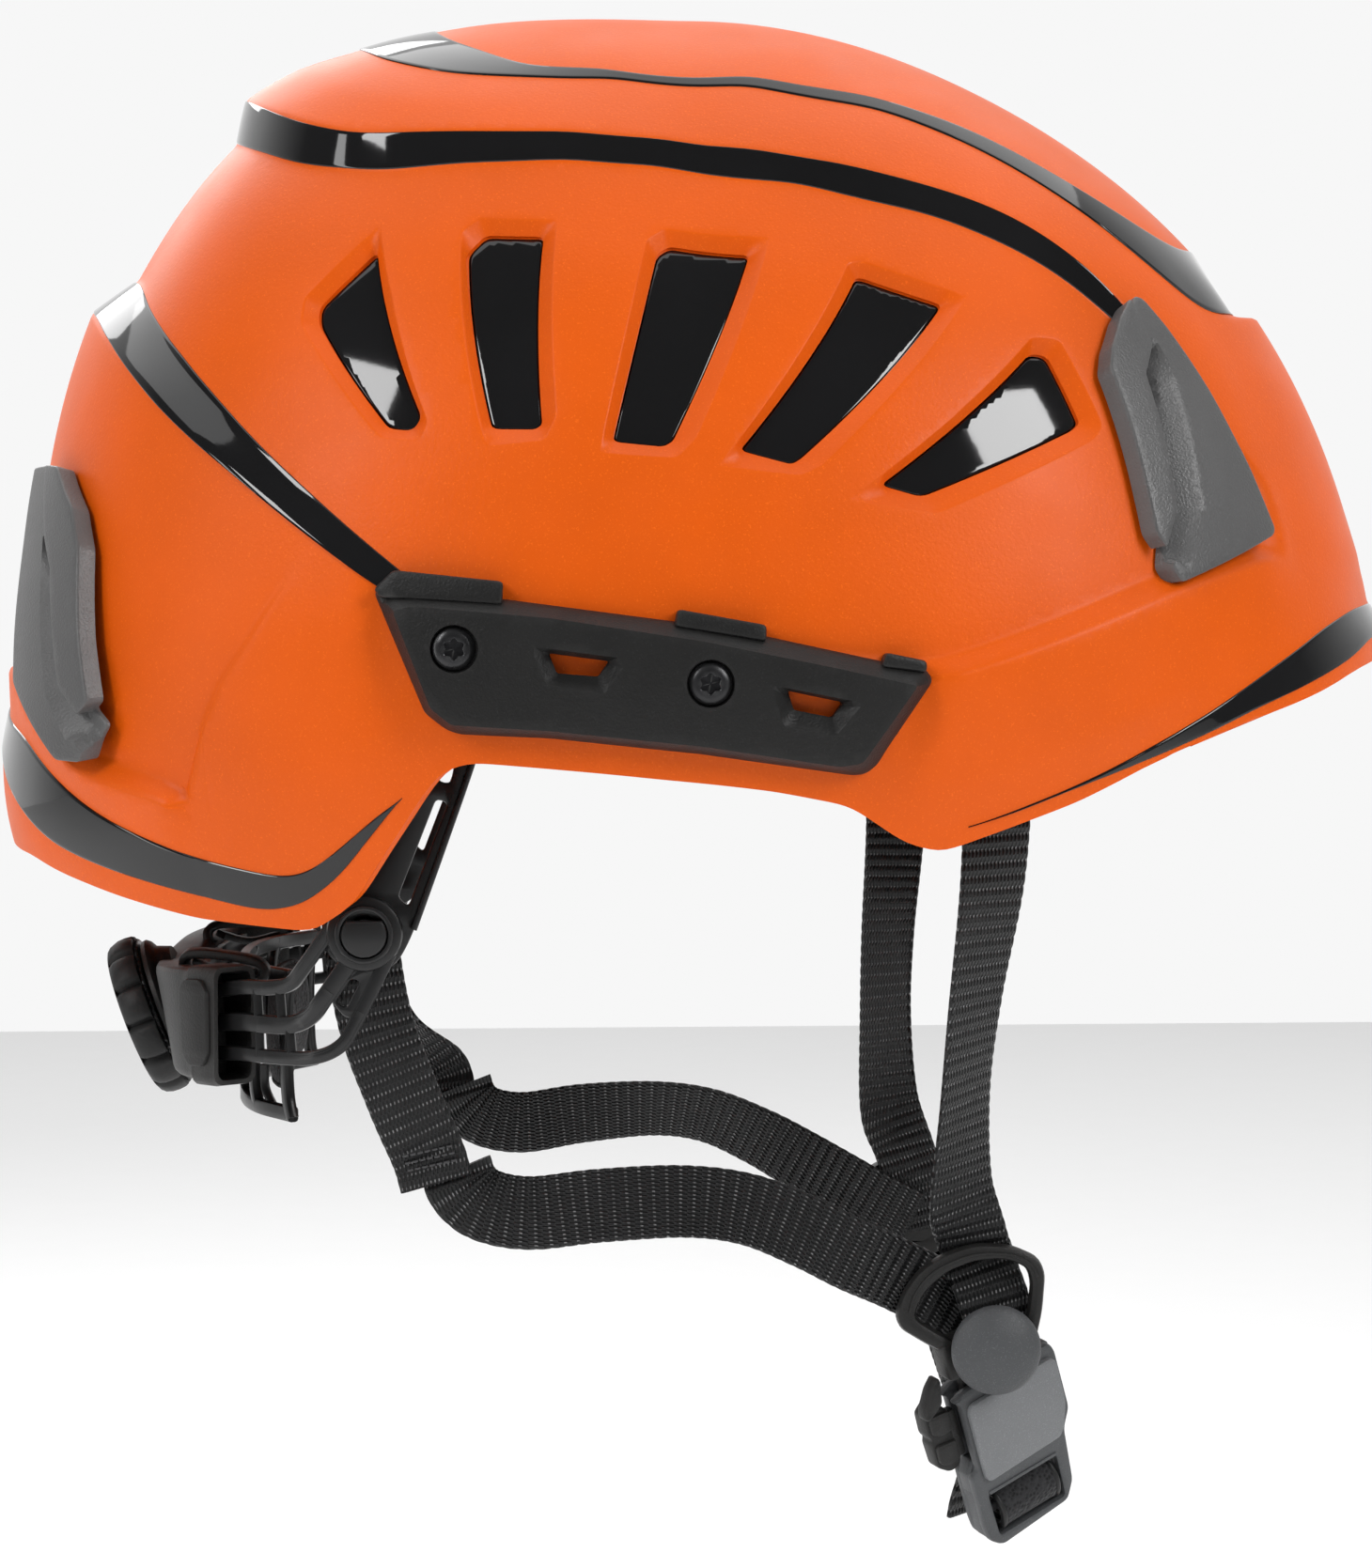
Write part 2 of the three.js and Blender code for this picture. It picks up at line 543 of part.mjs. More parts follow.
// a bar of the nape housing: x and z profile swept round the back of the head
const HOUSING_PLAN = [[-94.5, 61.5], [-102, 50.5], [-106.5, 36], [-107.5, 18], [-107.5, 0]];

function housingSweep(shift, low, high, thick, from = 0) {
  const half = HOUSING_PLAN.slice(from);
  const plan = [...half.map(([x, y]) => [x, -y]), ...half.slice(0, -1).reverse()];
  const curve = new THREE.CatmullRomCurve3(plan.map(([x, y]) => vec(x, y, 0)));
  const steps = 16;
  const outer = [[], []];
  const inner = [[], []];
  for (let i = 0; i <= steps; i += 1) {
    const t = i / steps;
    const at = curve.getPoint(t);
    const tangent = curve.getTangent(t);
    const away = vec(-tangent.y, tangent.x, 0).normalize();
    const side = Math.abs(at.y) / HOUSING_PLAN[0][1];
    const lean = Math.tan(THREE.MathUtils.degToRad(KNOB_TILT)) * (1 - side);
    const place = (z, out) => at.clone().addScaledVector(away, out).setZ(z - 4 * (1 - side))
      .add(vec((HOUSING_MIDDLE - z) * lean, 0, 0));
    outer[0].push(place(low, shift + thick));
    outer[1].push(place(high, shift + thick));
    inner[0].push(place(low, shift));
    inner[1].push(place(high, shift));
  }
  return gridSolid(outer, inner);
}

function napeHousing() {
  const body = housingSweep(-5, -57.4, -33, 10.4);
  const hollow = housingSweep(-6, -55, -35.4, 9.2);
  return cut(body, hollow, knobSolid([[0, -8], [3.2, -8], [3.2, 12], [0, 12]], 16));
}

function napeCover() {
  return housingSweep(-5, -54.6, -35.8, 1.4, 1);
}

// solids turned about the knob's axis: profile points are [radius, distance out from the housing]
function knobSolid(profile, sides = 28) {
  const lathe = new THREE.LatheGeometry(profile.map(([r, d]) => new THREE.Vector2(r, d)), sides);
  return bare(lathe).rotateZ(Math.PI / 2).rotateY(THREE.MathUtils.degToRad(-KNOB_TILT))
    .translate(...KNOB_SEAT);
}

function napeFrame() {
  const plan = [[-84, -44], [-92, -30], [-96, -12], [-96, 12], [-92, 30], [-84, 44]];
  const rail = (z, height) => band(plan.map(([x, y]) => [[x, y, z], [0, 0, 1]]), height, 2.2, 2);
  const post = (x, y) => band([[[x, y, -38], [0.3 * y, 28, 0]], [[x, y, -66], [0.3 * y, 28, 0]]], 3, 2.2, 2);
  return join(rail(-37.5, 3), rail(-66, 3), post(-84.8, -42.6), post(-92.4, -29), post(-96.2, -10),
    post(-96.2, 10), post(-92.4, 29), post(-84.8, 42.6));
}

function napePad() {
  const plan = [[-87, -30], [-91, -12], [-91, 12], [-87, 30]];
  return band(plan.map(([x, y]) => [[x, y, -52], [0, 0, 1]]), 22, 5, 4);
}

// ---------------------------------------------------------------- soft parts
function arcPad(radiusX, radiusY, halfAngle, z, height, thickness) {
  const stations = [];
  for (let i = -4; i <= 4; i += 1) {
    const angle = THREE.MathUtils.degToRad((halfAngle * i) / 4);
    stations.push([[radiusX * Math.cos(angle), radiusY * Math.sin(angle), z], [0, 0, 1]]);
  }
  return band(stations, height, thickness, 2);
}

// a shallow cap of padding under the crown of the liner
function crownPad() {
  const sides = 16;
  const rings = 4;
  const spread = 26;
  const surface = (radius) => {
    const rows = [];
    for (let r = 0; r <= rings; r += 1) {
      const angle = THREE.MathUtils.degToRad(spread * (1 - r / rings));
      const reach = radius * Math.sin(angle);
      const row = [];
      for (let c = 0; c < sides; c += 1) {
        const turn = (2 * Math.PI * c) / sides;
        row.push(vec(1.05 * reach * Math.cos(turn), 0.85 * reach * Math.sin(turn),
          CENTRE_Z + radius * Math.cos(angle)));
      }
      rows.push(row);
    }
    return rows;
  };
  return gridSolid(surface(103.5), surface(97.5), true);
}

// ---------------------------------------------------------------- webbing
function rearStrap() {
  return band([
    [[-69.8, -72.6, 2], [1, 0.04, 0.05]],
    [[-69.4, -72.4, -20], [1, 0.04, 0.1]],
    [[-66.4, -70.5, -42], [1, 0.06, 0.2]],
    [[-60.8, -67, -59], [1, 0.1, 0.3]],
    [[-54.4, -63, -75], [1, 0.1, 0.2]],
  ], STRAP_WIDTH, STRAP_THICKNESS, 3);
}

function jawStrap() {
  return band([
    [[-50.5, -60.6, -79.8], [0.75, 0.1, 0.75]],
    [[-38, -61, -84.3], [0.15, 0.1, 1]],
    [[-21.4, -63, -82.3], [-0.05, 0.2, 1]],
    [[-4, -64, -81.6], [0.05, 0.45, 1]],
    [[9, -64, -83.4], [0.2, 0.45, 1]],
    [[21, -62.8, -88.4], [0.4, 0.3, 1]],
    [[33, -61.9, -94.6], [0.45, 0.1, 1]],
    [[42.5, -61.8, -99.8], [0.45, 0, 1]],
  ], STRAP_WIDTH, STRAP_THICKNESS, 3);
}

function frontStrap() {
  return band([
    [[56.6, -84, 4], [1, 0.3, 0]],
    [[56, -81, -16], [1, 0.45, 0]],
    [[53.6, -75, -40], [1, 0.8, 0]],
    [[52.4, -69.5, -60], [1, 0.9, 0.05]],
    [[52.8, -64.4, -80], [1, 0.5, 0.05]],
    [[55.2, -61.8, -93], [1, 0, -0.1]],
  ], STRAP_WIDTH, STRAP_THICKNESS, 3);
}

// the plastic tab that a strap is sewn to, snapped into the shell
function strapAnchor(x, y, z, turn) {
  return box(16, 4, 12).rotateZ(THREE.MathUtils.degToRad(turn)).translate(x, y, z);
}

// ---------------------------------------------------------------- divider and buckle
// frame of the buckle: across its width, along its length away from the tongue, and out of its face
const BUCKLE_ORIGIN = vec(60.7, -57, -114);
const ACROSS = vec(0.846, 0.39, 0.363).normalize();
const OUT = cross(vec(0.273, 0.2686, -0.924), ACROSS).normalize();
const ALONG = cross(ACROSS, OUT);

// a block between two values across, along and out of the buckle's face
function buckleBox(s0, s1, t0, t1, d0, d1) {
  const block = box(t1 - t0, s1 - s0, d1 - d0, (t0 + t1) / 2, (s0 + s1) / 2, (d0 + d1) / 2);
  block.applyMatrix4(new THREE.Matrix4().makeBasis(ALONG, ACROSS, OUT));
  return block.translate(BUCKLE_ORIGIN.x, BUCKLE_ORIGIN.y, BUCKLE_ORIGIN.z);
}

function dividerPlate() {
  const outline = [[39.6, -106.3], [41.2, -101.5], [44.6, -96.8], [49.5, -93.7], [56, -91.6],
    [63.5, -92], [69.2, -94.6], [70.6, -97.9], [70, -106], [68.4, -113], [62, -117.4], [54, -116.4],
    [46.5, -112.6], [40.6, -109]];
  const window = [[43.8, -106.6], [46.4, -101.2], [50.5, -97.6], [56, -95.4], [62, -95], [66.4, -96.8],
    [67.2, -100], [66.4, -106], [58, -110.4], [49.6, -109.4]];
  return sidePlate(outline, -60.4, -56.4, [window]);
}

function dividerRight() {
  const neck = buckleBox(-7, 9, -4.5, 4, -6.6, -1.5);
  const tongue = buckleBox(-7.6, 9.8, 3, 21.5, -6.4, -3.4);
  return join(dividerPlate(), neck, tongue);
}

function dividerLeft() {
  const foot = sidePlate([[50.5, -112], [69, -112], [72.5, -131], [57, -131]], -60.2, -56.6,
    [[[59.1, -123.4], [70.5, -123.4], [70.1, -128], [59.5, -128]]]);
  return mirrored(join(dividerPlate(), foot));
}

function clampCap() {
  const profile = [[0, 0], [8.6, 0], [9.1, 1.2], [7.4, 3], [4.2, 4.3], [0, 4.8]];
  const lathe = new THREE.LatheGeometry(profile.map(([r, d]) => new THREE.Vector2(r, d)), 20);
  return bare(lathe).rotateX(Math.PI).translate(60.1, -60.9, -113.1);
}

function buckleBody() {
  const body = buckleBox(-12.5, 14.5, 6, 43.8, -9, -1.2);
  const pad = buckleBox(-10, 13.4, 9.4, 27.4, -2, 0);
  const socket = buckleBox(-8.2, 10.4, 0, 22.5, -6.9, -2.9);
  const slot = buckleBox(-9.6, 8.4, 31, 41.4, -12, 3);
  const bar = buckleBox(-10, 8.8, 35.2, 37.2, -6, -4);
  const buttonWell = buckleBox(-16, -10.4, 8, 24.5, -7.6, -2.8);
  return join(cut(join(body, pad), socket, slot, buttonWell), bar);
}

function releaseButton() {
  return buckleBox(-18, -12.2, 8.4, 24.1, -7.2, -3.2);
}

// the chin webbing wraps the bar in the buckle's slot and runs across under the chin
function chinWebbing() {
  const at = (s, t, d) => BUCKLE_ORIGIN.clone().addScaledVector(ACROSS, s).addScaledVector(ALONG, t)
    .addScaledVector(OUT, d);
  const side = ACROSS.toArray();
  const wrap = [at(-0.6, 32.8, -10.6), at(-0.6, 33, -7.6), at(-0.6, 33.6, -4.6), at(-0.6, 36.2, -2.2),
    at(-0.6, 39.2, -4.6), at(-0.6, 38.6, -9), at(-0.6, 36.4, -13.5)];
  const stations = wrap.map((p) => [p.toArray(), side]);
  stations.push([[67, -26, -146], [0.95, 0.1, 0.3]], [[67.5, -5, -147], [1, 0, 0.1]],
    [[67.5, 20, -145], [1, 0, 0]], [[67.2, 40, -139], [1, 0, 0]], [[65.7, 52, -132.5], [1, 0, 0]]);
  return band(stations, 12.4, STRAP_THICKNESS, 3);
}

// the end of the chin webbing, sewn round the foot of the left divider
function chinLoop() {
  const around = [[54.2, -129.5], [54.6, -126.4], [58.4, -125.6], [62, -127], [62.2, -132], [58.4, -133.4]];
  return band(around.map(([y, z]) => [[64.8, y, z], [1, 0, 0]]), 9.5, STRAP_THICKNESS, 2);
}

// ---------------------------------------------------------------- materials and assembly
function finish(color, roughness, metalness = 0) {
  return new THREE.MeshStandardMaterial({ color, roughness, metalness });
}

const ORANGE = finish('#f26a1b', 0.42);
const GLOSS_BLACK = finish('#0b0b0c', 0.12);
const SATIN_BLACK = finish('#161618', 0.38);
const MATT_GREY = finish('#3a3a3c', 0.62);
const FOAM = finish('#1e1e20', 0.9);
const PADDING = finish('#1a1a1c', 0.95);
const WEBBING = finish('#131314', 0.8);
const RUBBER = finish('#1c1c1d', 0.75);
const STEEL = finish('#101012', 0.35, 0.8);

const helmet = new THREE.Group();

function add(name, geometry, material) {
  const mesh = new THREE.Mesh(geometry, material);
  mesh.name = name;
  helmet.add(mesh);
}

function addPair(name, geometry, material) {
  add(`${name}_right`, geometry, material);
  add(`${name}_left`, mirrored(geometry), material);
}

add('outer_shell', outerShell(), ORANGE);
add('crown_band', trim(arc(CROWN_BAND_FROM, 180), ROW.crownLow, ROW.crownHigh), GLOSS_BLACK);
add('top_stripe', trim(ring(), ROW.topLow, ROW.topHigh, true), GLOSS_BLACK);
add('rear_chevron', trim(arc(CHEVRON_FROM, 180), ROW.stepLow, ROW.stepHigh), GLOSS_BLACK);
add('rear_brim_stripe', trim(arc(REAR_BRIM_FROM, 180), ROW.brimLow, ROW.brimHigh), GLOSS_BLACK);
add('front_brim_stripe', trim(arc(0, FRONT_BRIM_TO), ROW.brimLow, ROW.brimHigh), GLOSS_BLACK);
addPair('vent_insert', ventInsert(), GLOSS_BLACK);
add('foam_liner', foamLiner(), FOAM);
add('crown_pad', crownPad(), PADDING);
add('forehead_band', arcPad(103, 80, 52, 21, 24, 2), SATIN_BLACK);
add('forehead_pad', arcPad(97.5, 74.5, 46, 20, 26, 5), PADDING);
addPair('accessory_rail', accessoryRail(), MATT_GREY);
SCREWS.forEach((place, i) => addPair(i === 0 ? 'rail_screw_rear' : 'rail_screw_front', railScrew(place), STEEL));
addPair('front_lamp_clip', frontLampClip(), MATT_GREY);
addPair('rear_lamp_clip', rearLampClip(), MATT_GREY);
addPair('side_hanger', sideHanger(), SATIN_BLACK);
addPair('pivot_stud', pivotStud(), SATIN_BLACK);
addPair('nape_arm', napeArm(), SATIN_BLACK);
add('nape_housing', napeHousing(), MATT_GREY);
add('nape_cover', napeCover(), SATIN_BLACK);
add('knob_pinion', knobSolid([[0, -6.5], [4.2, -6.5], [4.2, -2.9], [2.9, -2.9], [2.9, 3], [0, 3]], 16),
  SATIN_BLACK);
add('knob_core', knobSolid([[0, 3.3], [15.4, 3.3], [15.4, 8], [3.4, 8], [3.4, 6], [0, 6]]), SATIN_BLACK);
add('knob_grip', knobSolid([[15.8, 2.6], [KNOB_R, 3.2], [KNOB_R + 0.6, 6], [KNOB_R - 1, 8.6],
  [15.8, 9], [15.8, 2.6]]), RUBBER);
add('knob_screw', knobSolid([[0, 6.4], [3, 6.4], [3, 7.6], [0, 7.6]], 16), STEEL);
add('nape_frame', napeFrame(), SATIN_BLACK);
add('nape_pad', napePad(), PADDING);
addPair('rear_strap', rearStrap(), WEBBING);
addPair('jaw_strap', jawStrap(), WEBBING);
addPair('front_strap', frontStrap(), WEBBING);
addPair('rear_strap_anchor', strapAnchor(-70.4, -75.8, 5, 2), SATIN_BLACK);
addPair('front_strap_anchor', strapAnchor(57.6, -87.4, 5, 17), SATIN_BLACK);
add('divider_right', dividerRight(), MATT_GREY);
add('divider_left', dividerLeft(), MATT_GREY);
addPair('clamp_cap', clampCap(), MATT_GREY);
add('buckle_body', buckleBody(), MATT_GREY);
add('buckle_release', releaseButton(), MATT_GREY);
add('chin_webbing', chinWebbing(), WEBBING);
add('chin_loop', chinLoop(), WEBBING);

export default helmet;
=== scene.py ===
# Arborist helmet: the visible model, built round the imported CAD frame.
# Shapes are worked out in millimetres in the CAD's own frame and turned into metres when a mesh is made.
# The shell is described by azimuth (0 front, 180 rear, the same on both sides) and elevation, in degrees.
import math

import bmesh
import bpy
import numpy as np
from mathutils import Matrix, Vector, geometry, kdtree


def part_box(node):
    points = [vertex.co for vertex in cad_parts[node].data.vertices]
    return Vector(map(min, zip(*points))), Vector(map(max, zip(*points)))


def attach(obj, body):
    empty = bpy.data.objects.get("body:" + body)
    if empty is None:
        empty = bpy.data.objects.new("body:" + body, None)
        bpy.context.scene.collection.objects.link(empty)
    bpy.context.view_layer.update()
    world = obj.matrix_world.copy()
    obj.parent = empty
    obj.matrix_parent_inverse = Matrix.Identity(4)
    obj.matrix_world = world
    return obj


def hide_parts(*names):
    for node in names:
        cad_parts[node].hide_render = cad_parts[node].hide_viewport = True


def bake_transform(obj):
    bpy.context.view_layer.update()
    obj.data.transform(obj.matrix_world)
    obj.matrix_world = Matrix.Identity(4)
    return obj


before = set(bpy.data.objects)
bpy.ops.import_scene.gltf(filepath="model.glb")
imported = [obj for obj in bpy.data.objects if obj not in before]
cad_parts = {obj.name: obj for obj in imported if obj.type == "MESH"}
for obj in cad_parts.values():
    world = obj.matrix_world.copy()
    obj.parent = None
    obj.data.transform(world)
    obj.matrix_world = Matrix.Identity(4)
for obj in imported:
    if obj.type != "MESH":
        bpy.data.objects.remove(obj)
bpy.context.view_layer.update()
HELMET, NAPE, ADJUSTER, KNOB = "helmet", "nape", "nape_adjuster", "knob"
MM = 0.001
CENTRE_Z = 30.0
SIDES = (("right", 1), ("left", -1))


def corners(node):
    """lowest and highest corner of a CAD node, in millimetres"""
    low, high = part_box(node)
    return np.array(low) / MM, np.array(high) / MM


# ---------------------------------------------------------------- camera, light and floor
def set_camera():
    azimuth, elevation, distance = math.radians(-3.3), math.radians(3.0), 0.750
    data = bpy.data.cameras.new("camera")
    data.lens = 78.14
    data.sensor_width = 36
    camera = bpy.data.objects.new("camera", data)
    bpy.context.scene.collection.objects.link(camera)
    away = Vector((math.sin(azimuth) * math.cos(elevation), -math.cos(azimuth) * math.cos(elevation),
                   math.sin(elevation)))
    camera.location = away * distance
    camera.rotation_euler = away.to_track_quat("Z", "Y").to_euler()
    bpy.context.scene.camera = camera


def area_light(name, place, target, size, power, colour=(1, 1, 1)):
    data = bpy.data.lights.new(name, "AREA")
    data.shape = "RECTANGLE"
    data.size, data.size_y = size
    data.energy = power
    data.color = colour
    lamp = bpy.data.objects.new(name, data)
    bpy.context.scene.collection.objects.link(lamp)
    lamp.location = place
    lamp.rotation_euler = (Vector(place) - Vector(target)).to_track_quat("Z", "Y").to_euler()


def set_studio():
    world = bpy.data.worlds.new("studio")
    bpy.context.scene.world = world
    world.use_nodes = True
    nodes, links = world.node_tree.nodes, world.node_tree.links
    parted = nodes.new("ShaderNodeSeparateXYZ")
    links.new(nodes.new("ShaderNodeTexCoord").outputs["Generated"], parted.inputs[0])
    wall = nodes.new("ShaderNodeValToRGB")            # a dark room in front of the helmet, a white wall behind it
    for stop, (place, grey) in zip(wall.color_ramp.elements, ((0.02, 0.16), (0.62, 0.93))):
        stop.position, stop.color = place, (grey, grey, grey, 1)
    links.new(parted.outputs[1], wall.inputs["Fac"])
    links.new(wall.outputs["Color"], nodes["Background"].inputs["Color"])
    area_light("key", (0.95, -0.95, 0.75), (0, 0, 0.02), (0.4, 0.7), 11.5)
    area_light("second", (-0.9, -0.85, 0.8), (0, 0, 0.02), (0.3, 0.6), 6.5)
    area_light("strip", (-1.0, -0.45, 0.1), (0, 0, 0.0), (0.1, 0.9), 1.5)
    area_light("back", (-0.5, 0.9, 0.7), (0, 0, 0.05), (0.7, 0.5), 4)
    area_light("overhead", (0, 0.9, 2.3), (0, 0.9, 0), (3.4, 3.0), 42)
    bpy.context.scene.view_settings.view_transform = "Standard"
    bpy.ops.mesh.primitive_plane_add(size=4.6, location=(0, 0, -0.34))
    floor = bpy.context.object
    floor.name = "floor"
    floor.data.materials.append(material("floor_paint", (0.96, 0.96, 0.96), 0.95, 0.004, 30, 0.000001,
                                         specular=0.1))


# ---------------------------------------------------------------- materials
class Nodes:
    """short hand for building a material's node tree"""

    def __init__(self, name):
        self.material = bpy.data.materials.new(name)
        self.material.use_nodes = True
        self.tree = self.material.node_tree
        self.shader = self.tree.nodes["Principled BSDF"]
        self.place = self.add("ShaderNodeTexCoord").outputs["Object"]

    def add(self, kind, **values):
        node = self.tree.nodes.new(kind)
        for key, value in values.items():
            setattr(node, key, value)
        return node

    def link(self, source, target):
        self.tree.links.new(source, target)

    def noise(self, scale, detail=2.0, rough=0.5, stretch=None):
        node = self.add("ShaderNodeTexNoise")
        place = self.place
        if stretch:
            mapping = self.add("ShaderNodeMapping")
            mapping.inputs["Scale"].default_value = stretch
            self.link(place, mapping.inputs["Vector"])
            place = mapping.outputs["Vector"]
        self.link(place, node.inputs["Vector"])
        node.inputs["Scale"].default_value = scale
        node.inputs["Detail"].default_value = detail
        node.inputs["Roughness"].default_value = rough
        return node.outputs["Fac"]

    def voronoi(self, scale):
        node = self.add("ShaderNodeTexVoronoi")
        self.link(self.place, node.inputs["Vector"])
        node.inputs["Scale"].default_value = scale
        return node.outputs["Distance"]

    def ramp(self, source, stops):
        node = self.add("ShaderNodeValToRGB")
        while len(node.color_ramp.elements) < len(stops):
            node.color_ramp.elements.new(0.5)
        for element, (place, colour) in zip(node.color_ramp.elements, stops):
            element.position = place
            element.color = (*colour, 1) if hasattr(colour, "__len__") else (colour, colour, colour, 1)
        self.link(source, node.inputs["Fac"])
        return node.outputs["Color"]

    def mix(self, factor, first, second, blend="MIX"):
        node = self.add("ShaderNodeMix", data_type="RGBA", blend_type=blend)
        if isinstance(factor, (int, float)):
            node.inputs[0].default_value = factor
        else:
            self.link(factor, node.inputs[0])
        self.link(first, node.inputs[6])
        self.link(second, node.inputs[7])
        return node.outputs[2]

    def math(self, operation, *values):
        node = self.add("ShaderNodeMath", operation=operation)
        for slot, value in zip(node.inputs, values):
            if isinstance(value, (int, float)):
                slot.default_value = value
            else:
                self.link(value, slot)
        return node.outputs[0]

    def colour(self, source):
        self.link(source, self.shader.inputs["Base Color"])

    def rough(self, source, low, high):
        self.link(self.ramp(source, [(0.25, low), (0.75, high)]), self.shader.inputs["Roughness"])

    def bump(self, source, depth, strength=1.0, under=None):
        node = self.add("ShaderNodeBump")
        node.inputs["Distance"].default_value = depth
        node.inputs["Strength"].default_value = strength
        self.link(source, node.inputs["Height"])
        if under is not None:
            self.link(under, node.inputs["Normal"])
        self.link(node.outputs["Normal"], self.shader.inputs["Normal"])
        return node.outputs["Normal"]

    def wear(self, base, worn, low=0.52, high=0.62):
        """edges, where the surface is pointed, take the worn colour"""
        pointed = self.add("ShaderNodeNewGeometry").outputs["Pointiness"]
        return self.mix(self.ramp(pointed, [(low, 0.0), (high, 1.0)]), base, worn)


def material(name, colour, roughness, spread=0.06, grain=900, bump=0.00003, coat=0.0, metallic=0.0,
             wear=None, speck=None, specular=0.5):
    """a moulded material: its colour drifts a little, and its surface has a fine grain"""
    n = Nodes(name)
    dark = tuple(c * (1 - spread) for c in colour)
    light = tuple(min(1, c * (1 + spread)) for c in colour)
    shade = n.ramp(n.noise(38, 3), [(0.3, dark), (0.7, light)])
    if speck:
        fine = n.ramp(n.noise(grain * 1.7, 1), [(0.62, 0.0), (0.74, 1.0)])
        shade = n.mix(fine, shade, n.ramp(n.noise(5), [(0.0, speck), (1.0, speck)]))
    if wear:
        shade = n.wear(shade, n.ramp(n.noise(200), [(0.3, wear), (0.7, tuple(c * 0.8 for c in wear))]))
    n.colour(shade)
    n.rough(n.noise(60, 4), roughness * 0.88, min(1, roughness * 1.12))
    n.bump(n.noise(grain, 2), bump)
    n.shader.inputs["Metallic"].default_value = metallic
    n.shader.inputs["Specular IOR Level"].default_value = specular
    n.shader.inputs["Coat Weight"].default_value = coat
    n.shader.inputs["Coat Roughness"].default_value = 0.06
    return n.material


def webbing_material():
    """ribbed webbing: lengthways yarns with a painted highlight on their crests and painted shade in their
    troughs, dark between the ribs, with pale threads that show in the grooves
    """
    n = Nodes("black_webbing")
    parted = n.add("ShaderNodeSeparateXYZ")
    n.link(n.add("ShaderNodeTexCoord").outputs["UV"], parted.inputs[0])
    across, along = parted.outputs[0], parted.outputs[1]
    rib = n.math("DIVIDE", along, 2.7)
    into = n.math("MULTIPLY", n.math("ABSOLUTE", n.math("SUBTRACT", n.math("FRACT", rib), 0.5)), 2.0)
    shift = n.math("MULTIPLY", n.math("FLOOR", rib), math.pi)
    slant = n.math("ADD", n.math("MULTIPLY", across, 2 * math.pi / 0.85), n.math("MULTIPLY", along, 1.1))
    yarn = n.math("SINE", n.math("ADD", slant, shift))
    groove = n.ramp(n.math("SUBTRACT", 1.0, into), [(0.74, 0.0), (0.84, 1.0)])
    dash = n.ramp(yarn, [(0.45, 0.0), (0.62, 1.0)])
    base = n.ramp(n.noise(90, 3), [(0.3, (0.005, 0.005, 0.0055)), (0.7, (0.011, 0.011, 0.012))])
    # painted highlight and painted shade: where the yarn bump rises the colour is lighter, and where it falls the
    # colour is darker
    painted_yarn_shading = n.ramp(yarn, [(0.1, (0.003, 0.003, 0.003)), (0.9, (0.018, 0.018, 0.019))])
    pale = n.ramp(n.noise(400), [(0.3, (0.08, 0.08, 0.082)), (0.7, (0.3, 0.3, 0.305))])
    shade = n.mix(0.5, base, painted_yarn_shading)
    n.colour(n.mix(n.mix(groove, n.ramp(into, [(0, 0.0), (1, 0.0)]), dash), shade, pale))
    n.rough(n.noise(70, 3), 0.34, 0.5)
    rows = n.bump(n.math("SINE", n.math("MULTIPLY", into, 1.5)), 0.0007)
    fine = n.bump(n.math("ADD", n.math("MULTIPLY", yarn, 0.5), 0.5), 0.0004, under=rows)
    n.bump(n.noise(2600, 2), 0.00003, under=fine)
    n.shader.inputs["Specular IOR Level"].default_value = 0.4
    n.shader.inputs["Sheen Weight"].default_value = 0.02
    return n.material


def padding_material():
    """knitted spacer fabric: small meshes, with painted shade in their holes"""
    n = Nodes("knit_padding")
    mesh = n.voronoi(1100)
    # painted shade: the holes of the knit, where the bump dips, are painted darker
    painted_hole_shade = n.ramp(mesh, [(0.15, (0.006, 0.006, 0.006)), (0.5, (0.032, 0.032, 0.034))])
    n.colour(n.mix(n.ramp(n.noise(45), [(0.3, 0.15), (0.7, 0.5)]), painted_hole_shade,
                   n.ramp(n.noise(300), [(0.3, (0.014, 0.014, 0.015)), (0.7, (0.03, 0.03, 0.032))])))
    n.rough(n.noise(80), 0.78, 0.95)
    n.bump(mesh, 0.00035)
    n.shader.inputs["Specular IOR Level"].default_value = 0.2
    n.shader.inputs["Sheen Weight"].default_value = 0.1
    return n.material


